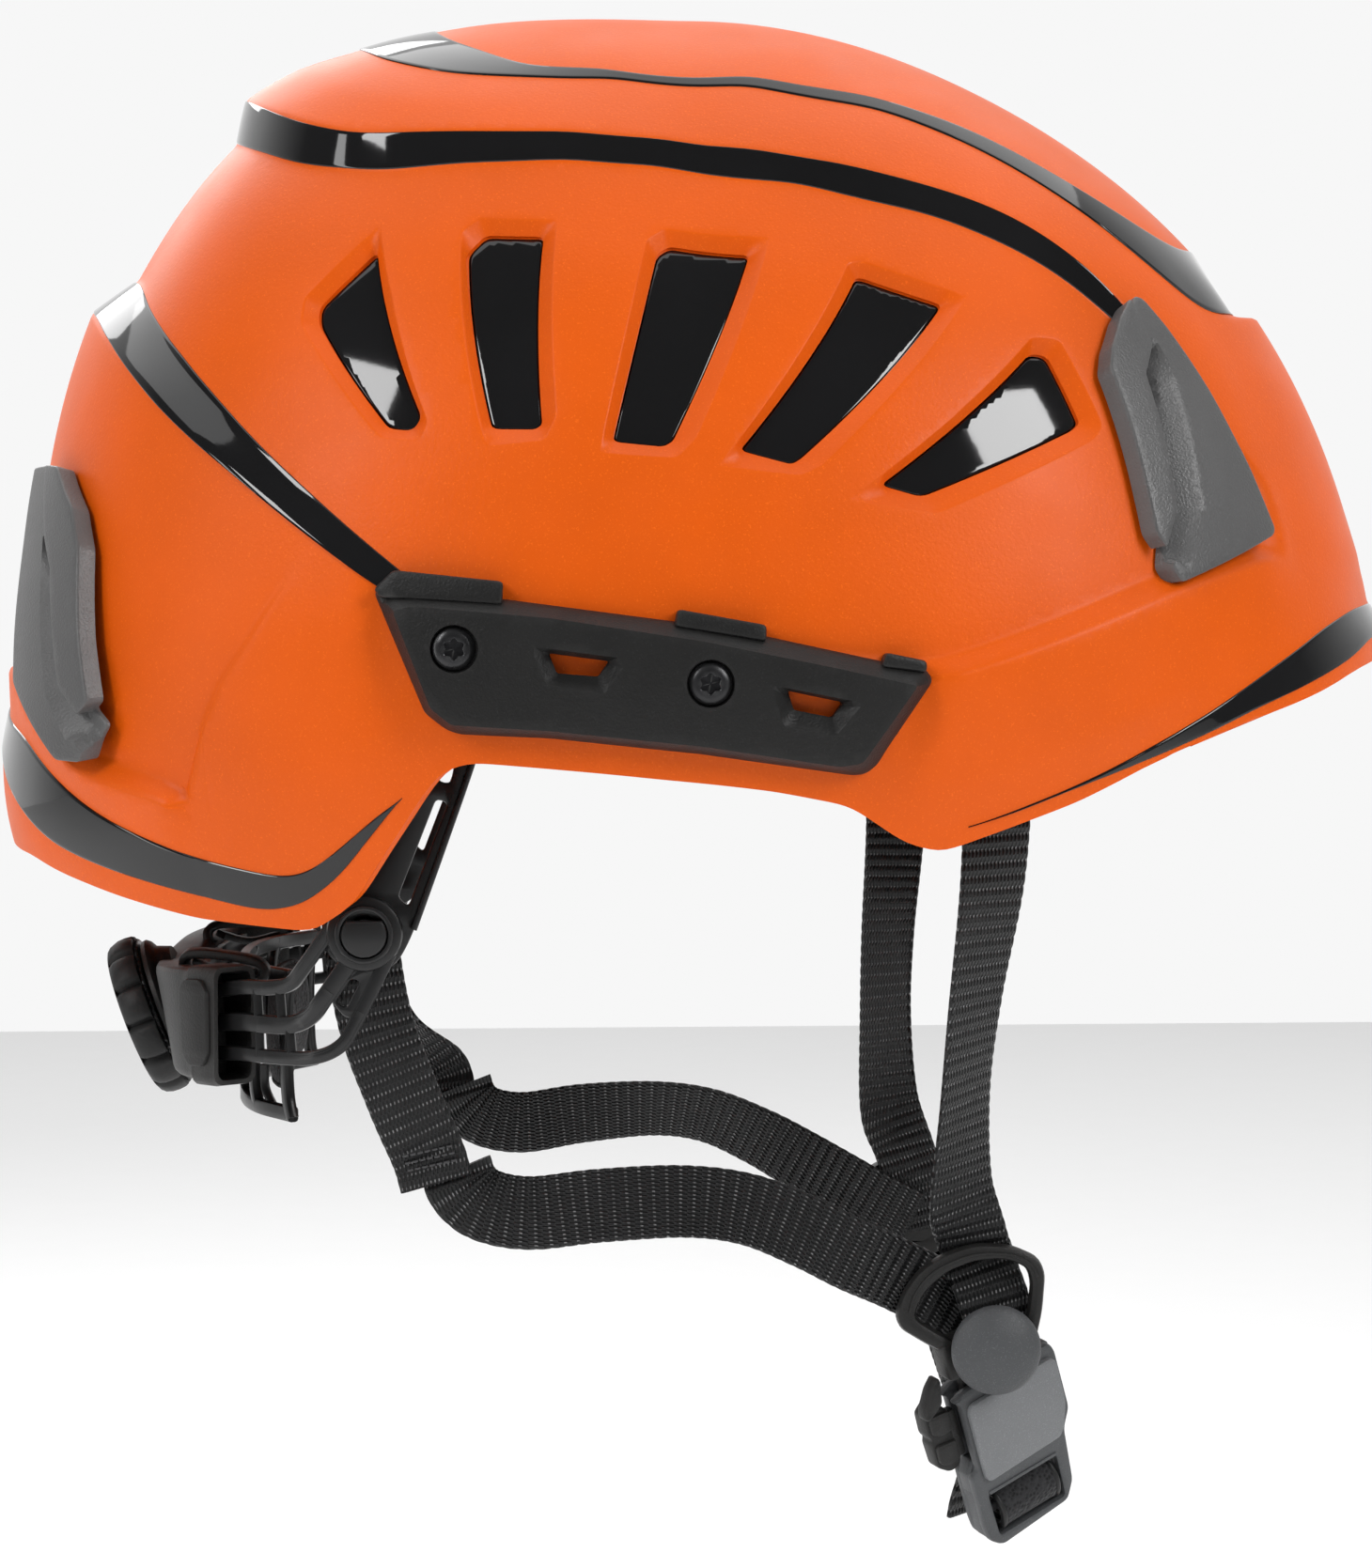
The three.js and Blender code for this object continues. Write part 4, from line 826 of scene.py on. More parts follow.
VENT_DEPTH = 2.5
FLAT_SCALE = 118 * math.radians(1)       # millimetres of surface in a degree


def flat_vent(ring, fine=0):
    """vent corners in millimetres on the unrolled side of the shell"""
    flat = [(a * FLAT_SCALE * math.cos(math.radians(33)), e * FLAT_SCALE) for a, e in ring]
    return np.array(arc_round(flat, 1.1 if fine else 1.6, 4))


def unflat(flat):
    return flat[:, 0] / FLAT_SCALE / math.cos(math.radians(33)), flat[:, 1] / FLAT_SCALE


INNER = [flat_vent(v[0]) for v in VENTS]
OUTER = [flat_vent(v[1], 1) for v in VENTS]


def soft_ramp(x, end, soft):
    """0 before 0, 1 after end, straight between, with both corners rounded"""
    def total(v):
        v = np.asarray(v, float)
        return np.where(v < 0, 0, np.where(v < end, v * v / (2 * end), v - end / 2))
    return (total(x + soft) - total(x - soft)) / (2 * soft)


def vent_sink(a, e):
    """depth of the sunk borders round the vents"""
    flat = np.stack([a * FLAT_SCALE * math.cos(math.radians(33)), e * FLAT_SCALE], -1)
    sink = np.zeros(len(flat))
    for inner, outer in zip(INNER, OUTER):
        low, high = outer.min(0) - 1.5, outer.max(0) + 1.5
        near = np.all((flat > low) & (flat < high), axis=1)
        if not near.any():
            continue
        p = flat[near]
        to_outer = edge_distance(p, outer) * np.where(inside(p, outer), 1, -1)
        to_inner = edge_distance(p, inner) * np.where(inside(p, inner), -1, 1)
        width = np.maximum(to_outer, 0) + np.maximum(to_inner, 0.001)
        sink[near] = np.maximum(sink[near], VENT_DEPTH * soft_ramp(to_outer, np.maximum(width, 0.6), 0.16))
    return sink


MAP_SCALE = 125.0
SEAM_BOW, MAP_EDGE = 8.0, 330.0      # the middle line is bowed in the map, so that its points are all corners


def to_map(a, e):
    """conformal map of the shell, seen from above its top"""
    reach = 2 * MAP_SCALE * np.tan(np.radians(90 - np.asarray(e, float)) / 2)
    x, y = reach * np.cos(np.radians(a)), reach * np.sin(np.radians(a))
    return np.stack([x, y - SEAM_BOW * (1 - (x / MAP_EDGE) ** 2)], -1)


def from_map(p):
    x, y = p[:, 0], p[:, 1] + SEAM_BOW * (1 - (p[:, 0] / MAP_EDGE) ** 2)
    y = np.where(np.abs(y) < 0.02, 0, y)
    return np.degrees(np.arctan2(y, x)), 90 - 2 * np.degrees(np.arctan(np.hypot(x, y) / 2 / MAP_SCALE))


def thinned(a, e, spacing):
    """points of a fine line kept about one spacing apart, with both ends"""
    p = surface(a, e, 0)
    run = np.concatenate([[0], np.cumsum(np.linalg.norm(np.diff(p, axis=0), axis=1))])
    count = max(2, int(run[-1] / spacing) + 1)
    at = np.linspace(0, run[-1], count)
    return np.interp(at, run, a), np.interp(at, run, e)


def build_shell(finish):
    spacing = 2.4
    fine = np.arange(0, 180.01, 0.25)
    rows = np.where(fine[:, None] < 139.5, shell_rows(fine, False)[0], shell_rows(fine, True)[0])
    rim_a, rim_e = thinned(fine, rows[:, 0], 1.6)
    lines = []
    for row in CREASED:
        use = fine >= 139 if row in (3, 4) else fine >= 0
        for shift in (-SOFT, 0, SOFT):
            a, e = thinned(fine[use], rows[use, row] + shift, 1.9)
            lines.append(to_map(a, e))
    lines.append(to_map(*thinned(fine, rows[:, 0] + 0.3, 1.6)))
    side_e = np.arange(-11.4, 7.0, 0.2)
    side_a = np.interp(side_e, [p[1] for p in RECESS_SIDE[::-1]], [p[0] for p in RECESS_SIDE[::-1]])
    for shift in (-0.2, 0.2, 0.6, 1.0):
        lines.append(to_map(*thinned(side_a + shift, side_e, 1.2)))
    rings = []
    for inner, outer in zip(INNER, OUTER):
        for ring in (inner, inset(inner, -0.3), outer, inset(outer, 0.22), inset(outer, -0.22)):
            rings.append(to_map(*unflat(resample(ring, 0.9, True))))
    loose = []
    step = math.degrees(spacing / MAP_SCALE)
    for j, e in enumerate(np.arange(-26, 89, step * 0.87)):
        count = int(180 / step * math.cos(math.radians(e))) + 2
        a = (np.arange(count) + (0.5 if j % 2 else 0)) * 180 / count
        a = a[(a > step * 0.4) & (a < 180 - step * 0.4) & (RIM(a) + 0.6 < e)]
        loose.extend(to_map(a, np.full(len(a), e)))
    seam = [to_map(np.array([s]), np.array([e]))[0] for s in (0.0, 180.0)
            for e in np.arange(RIM(s) + 1.2, 89.9, 1.1)]
    loose.extend(seam)
    border = to_map(rim_a, rim_e)

    def keep(centres):
        a, e = from_map(centres)
        kept = e > RIM(a) - 0.02
        flat = np.stack([a * FLAT_SCALE * math.cos(math.radians(33)), e * FLAT_SCALE], -1)
        for inner in INNER:
            kept &= ~inside(flat, inner)
        return kept

    flat, faces = triangulate(rings, [border, *lines], [*loose, to_map(0.0, 90.0)], keep, 0.75)
    a, e = from_map(flat)
    e = np.minimum(e, 90)
    seam = (a < 0.02) | (a > 179.98) | (e > 89.98)
    height = section_height(a, e)
    right = surface(a, e, height - vent_sink(a, e))
    under = surface(a, e, height - SHELL_WALL - 0.3)
    right[seam, 1] = 0
    under[seam, 1] = 0
    shared = np.where(seam)[0]
    twin = np.arange(len(flat)) + len(flat)
    twin[shared] = shared
    top = np.vstack([right, right * (1, -1, 1)])
    bottom = np.vstack([under, under * (1, -1, 1)])
    both = np.vstack([faces, twin[faces][:, ::-1]])
    used = np.unique(both)
    index = np.full(len(top), -1)
    index[used] = np.arange(len(used))
    points, solid = thick(index[both], top[used], bottom[used], 0.5, 2)
    piece("shell", points, solid, finish, HELMET, ["outer_shell"], "shell_plastic", 38)


# ---------------------------------------------------------------- trims that lie on the shell's steps
def stripe(name, node, low, high, start, end, finish, proud=0.35, loop=False, taper=0.0):
    """a thin band of gloss plastic that follows the shell between two lines, across the middle plane"""
    half = np.arange(start, end + 0.01, 0.6)
    if loop:
        azimuth = np.concatenate([half, -half[::-1][1:-1]])
    elif end >= 180:
        azimuth = np.concatenate([half, -half[::-1][1:]])
    else:
        azimuth = np.concatenate([-half[::-1], half[1:]])
    size = np.abs(azimuth)
    close = fade(size, start + taper, start) if end >= 180 else fade(size, end - taper, end)
    share = np.ones_like(size) if taper == 0 else np.maximum(close, 0.02)
    share = 0.02 + 0.98 * np.sqrt(share) if taper else share
    middle_line = (low(size) + high(size)) / 2
    half_width = (high(size) - low(size)) / 2 * share
    outer, inner = [], []
    for t in (-1.0, -0.985, -0.95, -0.88, -0.7, -0.45, -0.2, 0.0, 0.2, 0.45, 0.7, 0.88, 0.95, 0.985, 1.0):
        e = middle_line + half_width * t
        edge = (1 - abs(t)) * half_width * 2.2
        lift = proud - round_over(edge, proud)
        h = section_height(size, e)
        outer.append(surface(azimuth, e, h + lift))
        inner.append(surface(azimuth, e, h - 0.6))
    points, faces = grid_solid(outer, inner, loop)
    piece(name, points, faces, finish, HELMET, [node], "gloss_trim", 30)


def build_stripes(finish):
    stripe("crown_stripe", "crown_band", lambda a: CROWN_LOW(a) + 0.1, lambda a: CROWN_HIGH(a) - 0.1, 37, 180,
           finish,
           taper=6)
    stripe("top_ring", "top_stripe", lambda a: TOP_LOW(a) + 0.5, lambda a: TOP_HIGH(a) - 0.1, 0, 180, finish,
           loop=True)
    wide = lambda a: 0.7 * fade(a, 122, 118) * fade(a, 148, 160)
    stripe("rear_stripe", "rear_chevron", lambda a: STEP_LOW(a) + 0.2 - wide(a),
           lambda a: STEP_HIGH(a) - 0.2 + wide(a),
           117.5, 180, finish, taper=3)
    stripe("rear_brim_band", "rear_brim_stripe", lambda a: BRIM_LOW(a) + 0.2, lambda a: BRIM_HIGH(a) - 0.2,
           121.5, 180,
           finish, taper=3)
    stripe("front_brim_band", "front_brim_stripe", lambda a: BRIM_LOW(a) + 0.2, lambda a: BRIM_HIGH(a) - 0.2,
           0, 64,
           finish, taper=22)


def build_vent_panels(finish):
    """gloss plugs that fill the vents from inside, on one carrier strip for each side"""
    half = Parts()
    for inner in INNER:
        outline = inset(inner, 0.2)

        def lifted(flat, outline=outline):
            a, e = unflat(flat)
            fall = round_over(edge_distance(flat, outline), 0.5)
            return surface(a, e, -VENT_DEPTH - 0.4 - fall)

        half.add(*relief(outline, lifted, lambda flat: surface(*unflat(flat), -5.1), 1.1, 0.5))
    # the carrier strip runs behind the plugs
    upper = np.array([(134, 33), (115, 40), (90, 41), (70, 38), (53, 28.5)])
    lower = np.array([(129, 25), (113, 26.5), (92, 26), (78, 23), (56, 20.5)])
    rows = [smooth_path(upper + (lower - upper) * t, 60) for t in np.linspace(0, 1, 6)]
    half.add(*grid_solid([surface(r[:, 0], r[:, 1], -4.4) for r in rows],
                         [surface(r[:, 0], r[:, 1], -5.6) for r in rows]))
    for side, sign in SIDES:
        parts = half if sign > 0 else half.mirrored()
        piece(f"vent_panels_{side}", parts.points, parts.faces, finish, HELMET, [f"vent_insert_{side}"],
              "gloss_trim", 30)


# ---------------------------------------------------------------- pieces fixed to the shell
def side_point(x, z, lift):
    """points at x and z on the wearer's right, at a height over the base surface"""
    x, z, lift = np.broadcast_arrays(np.asarray(x, float), np.asarray(z, float), lift)
    y = np.full(x.shape, -105.0)
    for _ in range(16):
        flat = np.hypot(x, y)
        r = np.hypot(flat, z - CENTRE_Z)
        a, e = np.degrees(np.arctan2(-y, x)), np.degrees(np.arctan2(z - CENTRE_Z, flat))
        y = y - (base_radius(np.abs(a), e) + lift - r) * r / np.abs(y)
    return np.stack([x, y, z], -1)


def circle(x, y, radius, count=28):
    turn = np.arange(count) * 2 * math.pi / count
    return np.stack([x + radius * np.cos(turn), y + radius * np.sin(turn)], 1)


def ring_ramp(p, outer, inner):
    """0 at the outer ring and outside it, 1 at the inner ring and inside it"""
    to_outer = edge_distance(p, outer)
    share = to_outer / (to_outer + edge_distance(p, inner) + 1e-6)
    return np.where(inside(p, inner), 1.0, np.where(inside(p, outer), share, 0.0))


RAIL_EDGE = [(-65.1, 42.0), (-57.7, 41.4), (-40.5, 40.5), (-8.4, 36.3), (8.9, 33.5), (30.8, 28.8),
             (39.3, 27.6),
             (41.1, 25.1), (32.2, 12.0), (30.5, 9.1), (28.3, 7.3), (25.8, 7.0), (-3.4, 11.2), (-31.8, 14.2),
             (-48.7, 14.9), (-51.2, 15.7), (-53.6, 17.5), (-55.4, 18.9)]
RAIL_FACE = [(-61.4, 38.3), (-57.7, 39.1), (-31.7, 36.9), (-3.4, 32.6), (21.5, 27.6), (37.6, 24.1),
             (27.2, 9.5),
             (23.0, 8.8), (-3.4, 12.8), (-31.8, 15.7), (-50.4, 16.8), (-54.3, 19.9)]
RAIL_TABS = [[(-65.0, 42.4), (-61.3, 46.0), (-40.5, 43.8), (-40.7, 39.4), (-64.0, 40.8)],
             [(-8.4, 35.3), (-7.7, 38.6), (9.0, 35.6), (8.9, 32.5)],
             [(30.8, 27.6), (31.7, 30.4), (39.6, 28.8), (39.6, 26.6)]]
RAIL_WINDOWS = [([(-32.0, 30.3), (-20.7, 28.8), (-22.7, 25.9), (-30.5, 26.5)],
                 [(-35.6, 31.7), (-17.0, 29.2), (-21.6, 22.7), (-32.6, 24.5)]),
                ([(13.0, 23.2), (23.5, 21.0), (21.5, 18.1), (14.1, 19.6)],
                 [(9.6, 24.4), (27.2, 20.9), (22.0, 14.7), (12.0, 16.6)])]
RAIL_TOP, RAIL_CHAMFER, COUNTERBORE = 6.5, 2.9, 4.55
SCREWS = (("rear", -49.8, 31.1, 104.5), ("front", -1.7, 24.6, 108.8))


def build_rails(finish):
    edge, face = np.array(arc_round(RAIL_EDGE, 1.2, 3)), np.array(arc_round(RAIL_FACE, 0.8, 2))
    windows = [(np.array(arc_round(o, 0.5, 2)), np.array(arc_round(r, 0.8, 2))) for o, r in RAIL_WINDOWS]

    def rail_top(p):
        lift = RAIL_CHAMFER + (RAIL_TOP - RAIL_CHAMFER) * ring_ramp(p, edge, face)
        lift = lift - round_over(edge_distance(p, edge), 0.7)
        for opening, recess in windows:
            lift = lift - 2.6 * ring_ramp(p, recess, opening)
        for _, x, z, _ in SCREWS:
            lift = np.where(np.hypot(p[:, 0] - x, p[:, 1] - z) < COUNTERBORE - 0.1, RAIL_TOP - 2.4, lift)
        return side_point(p[:, 0], p[:, 1], lift)

    creases = [face, *[r for _, r in windows]]
    for _, x, z, _ in SCREWS:
        creases += [circle(x, z, COUNTERBORE), circle(x, z, COUNTERBORE - 0.2),
                    circle(x, z, COUNTERBORE + 0.35)]
    rail = Parts().add(*relief(edge, rail_top, lambda p: side_point(p[:, 0], p[:, 1], 0.45), 1.5, 0.7,
                               [o for o, _ in windows], creases))
    for tab in RAIL_TABS:
        outline = np.array(arc_round(tab, 0.9, 3))

        def tab_top(p, outline=outline):
            return side_point(p[:, 0], p[:, 1], 4.7 - round_over(edge_distance(p, outline), 0.7))

        rail.add(*relief(outline, tab_top, lambda p: side_point(p[:, 0], p[:, 1], 0.3), 1.3, 0.7))
    for side, sign in SIDES:
        parts = rail if sign > 0 else rail.mirrored()
        piece(f"tool_rail_{side}", parts.points, parts.faces, finish, HELMET, [f"accessory_rail_{side}"],
              "matt_plastic", 24)


def build_rail_screws(finish):
    profile = [(2.05, -5.8), (2.05, 0.2), (4.0, 0.2), (4.1, 0.5), (4.0, 1.2), (3.5, 1.7), (2.6, 1.95),
               (2.0, 2.0),
               (1.85, 1.9), (1.8, 0.9), (0.3, 0.75)]

    def lobed(radius, along, angle):
        return radius * (1 + 0.13 * math.cos(6 * angle)) if radius < 2.01 and along > 0.5 else radius

    for name, x, z, seat in SCREWS:
        points, faces = lathe(profile, 48, (x, -seat + 0.15, z), (0, -1, 0), lobed)
        for side, sign in SIDES:
            piece(f"rail_bolt_{name}_{side}", np.array(points) * (1, sign, 1), faces, finish, HELMET,
                  [f"rail_screw_{name}_{side}"], "dark_steel", 30)


def angular(ring, level):
    """azimuth and elevation corners in millimetres on the shell unrolled at one elevation"""
    return np.array([(a * 2.3 * math.cos(math.radians(level)), e * 2.3) for a, e in ring])


def from_angular(p, level):
    return p[:, 0] / 2.3 / math.cos(math.radians(level)), p[:, 1] / 2.3


def clip_part(outline, level, low, high, spacing=1.2, lines=(), radius=0.5):
    """a moulded part that follows the shell; high gives the height of its face at flat points"""
    def top(p):
        lift = high(p) - round_over(edge_distance(p, outline), radius)
        return surface(*from_angular(p, level), lift)
    return relief(outline, top, lambda p: surface(*from_angular(p, level), low), spacing, radius, lines=lines)


FRONT_CLIP = [(39.7, 32.6), (38.8, 32.2), (37.7, 29.5), (36.6, 26.0), (35.6, 22.7), (34.7, 19.1),
              (33.7, 15.7),
              (32.4, 10.4), (32.8, 9.8), (44.6, 6.1), (45.4, 7.6), (44.0, 12.6), (43.8, 24.8), (44.4, 27.0),
              (43.0, 29.4), (41.0, 31.4)]
FRONT_CHANNEL = [(40.9, 27.4), (42.7, 24.8), (43.4, 12.8), (45.0, 9.4)]
FRONT_FACET = [(40.2, 28.6), (39.7, 26.0), (40.9, 12.6), (43.9, 7.2)]
FRONT_TONGUE = [(40.5, 32.4), (42.9, 30.8), (45.7, 28.0), (46.9, 26.0), (46.4, 10.6), (45.6, 9.2),
                (43.7, 12.6),
                (43.0, 25.0), (40.6, 27.7)]
REAR_CLIP = [(164.8, 14.9), (159.8, 15.1), (156.2, 12.6), (154.4, 9.6), (152.6, 1.6), (149.8, -4.6),
             (148.3, -5.8),
             (149.2, -7.0), (150.0, -8.6), (153.1, -8.4), (161.1, -2.4)]
REAR_TONGUE = [(161.6, 15.1), (158.6, 15.0), (154.2, 11.6), (152.2, 8.4), (150.4, 1.0), (148.9, -3.9),
               (150.2, -4.9),
               (152.9, -2.6), (156.2, 6.6), (158.4, 9.2)]
REAR_CHANNEL = [(158.2, 8.8), (156.0, 6.8), (152.5, -2.6), (149.8, -6.0)]
REAR_FACET = [(158.6, 9.6), (157.6, 6.2), (154.6, -3.2), (151.2, -7.2)]


def line_distance(p, line):
    best = np.full(len(p), 1e9)
    for start, end in zip(line[:-1], line[1:]):
        d = end - start
        t = np.clip(((p - start) @ d) / max(d @ d, 1e-12), 0, 1)
        best = np.minimum(best, np.linalg.norm(p - start - t[:, None] * d, axis=1))
    return best


def lamp_clip(level, base, channel, facet, tongue, face, leaf):
    """base plate with a sloped facet down to a channel, and the flexible leaf on the far side of the channel"""
    base = np.array(arc_round(angular(base, level), 1.0, 3))
    channel, facet = angular(channel, level), angular(facet, level)
    tongue = np.array(arc_round(angular(tongue, level), 0.9, 3))

    def base_height(p):
        low, top = line_distance(p, channel), line_distance(p, facet)
        side = np.sign(np.cross(np.append(channel[-1] - channel[0], 0),
                                np.append(facet[1] - channel[0], 0))[2])
        beyond = side * ((channel[-1][0] - channel[0][0]) * (p[:, 1] - channel[0][1])
                         - (channel[-1][1] - channel[0][1]) * (p[:, 0] - channel[0][0])) < 0
        slope = np.where(beyond, 0, low / (low + top + 1e-6))
        past = (top < low) & ~inside(p, np.vstack([channel, facet[::-1]]))
        return face - 3.5 * (1 - np.where(past, 1.0,
                                          slope)) * np.exp(-(np.maximum(0, p[:, 1] - channel[0][1])) ** 2)

    clip = Parts().add(*clip_part(base, level, face - 4.4, base_height, 1.1, [channel, facet], 0.5))
    clip.add(*clip_part(tongue, level, leaf - 3.8, lambda p: np.full(len(p), leaf), 1.4, (), 0.5))
    return clip


def build_lamp_clips(finish):
    front = lamp_clip(20, FRONT_CLIP, FRONT_CHANNEL, FRONT_FACET, FRONT_TONGUE, 5.0, 5.04)
    rear = lamp_clip(3, REAR_CLIP, REAR_CHANNEL, REAR_FACET, REAR_TONGUE, 7.8, 7.84)
    for name, parts in (("front", front), ("rear", rear)):
        for side, sign in SIDES:
            use = parts if sign > 0 else parts.mirrored()
            piece(f"{name}_clip_{side}", use.points, use.faces, finish, HELMET, [f"{name}_lamp_clip_{side}"],
                  "matt_plastic", 26)


# ---------------------------------------------------------------- hanger, pivot and nape arms
PIVOT = np.array((-67.8, -79.4, -25.0))


def both_sides(name, parts, finish, body, node, slot, crease=30):
    """the same piece for the wearer's right and its mirror image for the left"""
    for side, sign in SIDES:
        use = parts if sign > 0 else parts.mirrored()
        made = piece(f"{name}_{side}", use.points, use.faces, finish, body, [f"{node}_{side}"], slot, crease)


def bar(points, side, width, height, radius=0.5, steps=None):
    """a moulded bar along a smooth path; width lies along side"""
    path = smooth_path(points, steps or 8 * len(points))
    sides = np.broadcast_to(np.asarray(side, float), path.shape)
    return sweep(path, sides, round_rect(width, height, radius, 2))


def hoop(centre, axis, radius, wide, high, count=48):
    """a ring of rounded rectangular section; wide runs along the axis"""
    axis = norm(axis)
    first = norm(np.cross(axis, (0, 0, 1) if abs(axis[2]) < 0.9 else (1, 0, 0)))
    second = np.cross(axis, first)
    turn = np.arange(count) * 2 * math.pi / count
    path = np.asarray(centre) + radius * (np.cos(turn)[:, None] * first + np.sin(turn)[:, None] * second)
    return sweep(path, np.broadcast_to(axis, path.shape), round_rect(wide, high, min(wide, high) * 0.3, 2),
                 True)


def build_hangers(finish):
    outline = arc_round([(-71, -33), (-66, -34), (-61.5, -31.4), (-58.8, -26.4), (-46.1, 8.2), (-44, 15),
                         (-56, 15),
                         (-58.5, 4), (-66.5, -12), (-75.5, -20.5), (-76, -29)], 3, 4)
    slots = [arc_round([(-53.7, 1.2), (-51.4, 0.4), (-59.3, -20.1), (-61.3, -18.2)], 1.0, 3),
             arc_round([(-53.6, 10.5), (-49.4, 11.5), (-50.9, 4.2), (-53.2, 4.6)], 1.0, 3),
             circle(PIVOT[0], PIVOT[2], 3.3, 24)]
    hanger = Parts().add(*plate(outline, 1.8, 0.45, side_plane(-76.6), slots))
    hanger.add(*bar([(-45.6, -77.0, 12), (-47.0, -77.0, 7), (-52.8, -77.0, -9.5), (-58.2, -77.0, -24.5)],
                    (0, 1, 0),
                    2.6, 1.3))
    hanger.add(*bar([(-55.6, -77.0, 12), (-57.6, -77.0, 4), (-62.0, -77.0, -5.0), (-65.2, -77.0, -11.5)],
                    (0, 1, 0),
                    2.6, 1.2))
    bridge = round_rect(11, 3, 0.8)
    hanger.add(*plate(bridge, 18.4, 0.5, lambda u, v, w: (-50 + u, -93.4 + w, 13.5 + v)))
    both_sides("hanger", hanger, finish, HELMET, "side_hanger", "satin_nylon")


def build_pivots(finish):
    turn = np.radians(np.arange(-218, 39, 8))
    half_round = [(PIVOT[0] + 4.5 * math.cos(a), PIVOT[2] + 4.5 * math.sin(a)) for a in turn]
    stud = Parts().add(*plate(half_round, 2.2, 0.6, side_plane(-83.7)))
    stud.add(*hoop((PIVOT[0], -82.2, PIVOT[2]), (0, 1, 0), 5.2, 2.0, 1.0))
    stud.add(*lathe([(2.95, -82.4), (2.95, -75.0), (4.5, -74.5), (4.5, -73.7), (4.1, -73.5)], 32,
                    (PIVOT[0], 0, PIVOT[2]), (0, 1, 0)))
    both_sides("pivot_button", stud, finish, HELMET, "pivot_stud", "satin_nylon")


def arm_plan(x):
    return np.interp(x, [-101, -97.5, -94.5, -88, -81, -76, -70, -60],
                     [53.3, 58, 61.9, 69.4, 75.2, 78.4, 79.4, 79.4])


def on_arm(points, out=0.0):
    return [(x, -arm_plan(x) - out, z) for x, z in points]


def build_nape_arms(finish):
    arm = Parts()
    arm.add(*hoop(PIVOT, (0, 1, 0), 5.4, 3.2, 4.2, 56))
    racks = [([(-69.5, -18.9), (-72.4, -21.4), (-79.6, -31.6), (-82.6, -35.4), (-87.0, -36.6), (-93, -37.2),
               (-100.5, -39.2)], 3.0),
             ([(-70.4, -30.0), (-75.6, -37.6), (-78.6, -41.6), (-82.6, -43.6), (-88, -44.0), (-93, -44.2),
               (-100.5, -45.4)], 3.6),
             ([(-62.9, -29.0), (-69.6, -42.6), (-72.8, -47.4), (-78.2, -49.8), (-86, -50.4), (-93, -50.6),
               (-100.5, -51.6)], 2.8)]
    for points, high in racks:
        line = np.array(on_arm(points))
        line = smooth_path(line, 90)
        along = norm(np.gradient(line, axis=0))
        outward = norm(np.array([(0.0, -1.0, 0.0)] * len(line)) * 0.6 + np.stack(
            [along[:, 1], -along[:, 0], 0 * along[:, 0]], 1) * np.sign(-along[:, :1]) * -0.4)
        sides = norm(np.cross(along, outward))
        arm.add(*sweep(line, sides, round_rect(high, 2.0, 0.5, 2)))
        arm.add(*sweep((line + outward * 0.9)[12:-26], sides[12:-26], round_rect(high - 1.3, 0.5, 0.2, 2)))
    web = [(-64.2, -31.2), (-67.2, -31.8), (-70.4, -30.4), (-75.2, -37.2), (-72.0, -41.4), (-69.4, -42.0)]
    arm.add(*plate(arc_round(web, 1.2, 3), 1.4, 0.3, lambda u, v, w: (u, -arm_plan(u) - 0.7 + w, v),
                   [arc_round([(-68.6, -34.4), (-70.4, -33.8), (-73.6, -38.6), (-71.4, -39.8)], 0.9, 3)]))
    for x, top, foot in ((-84.9, -36.4, -43.8), (-82.9, -44.0, -50.2), (-89.6, -37.2, -50.6)):
        arm.add(*bar(on_arm([(x, top), (x + 0.3, (top + foot) / 2), (x + 0.5, foot)]), (1, 0, 0), 1.9, 1.6,
                     0.4, 10))
    both_sides("nape_rack", arm, finish, NAPE, "nape_arm", "satin_nylon")


# ---------------------------------------------------------------- nape adjuster
HOUSING_PLAN = [(-94.5, 61.5), (-102, 50.5), (-106.5, 36), (-107.5, 18), (-107.5, 0)]
HOUSING_MIDDLE = -45.0
KNOB_TILT = math.radians(21)
KNOB_SEAT = np.array((-112.4, 0, -48.2))
KNOB_AXIS = np.array((-math.cos(KNOB_TILT), 0, -math.sin(KNOB_TILT)))


def housing_line(steps):
    plan = [(x, -y) for x, y in HOUSING_PLAN] + HOUSING_PLAN[-2::-1]
    path = smooth_path(plan, steps)
    tangent = norm(np.gradient(path, axis=0))
    return path, np.stack([-tangent[:, 1], tangent[:, 0]], 1)


def housing_point(at, away, z, out):
    """a point of the housing: its middle leans with the knob, its ends stand upright"""
    side = abs(at[1]) / HOUSING_PLAN[0][1]
    lean = math.tan(KNOB_TILT) * (1 - side)
    flat = at + away * out
    return (flat[0] + (HOUSING_MIDDLE - z) * lean, flat[1], z - 4 * (1 - side))


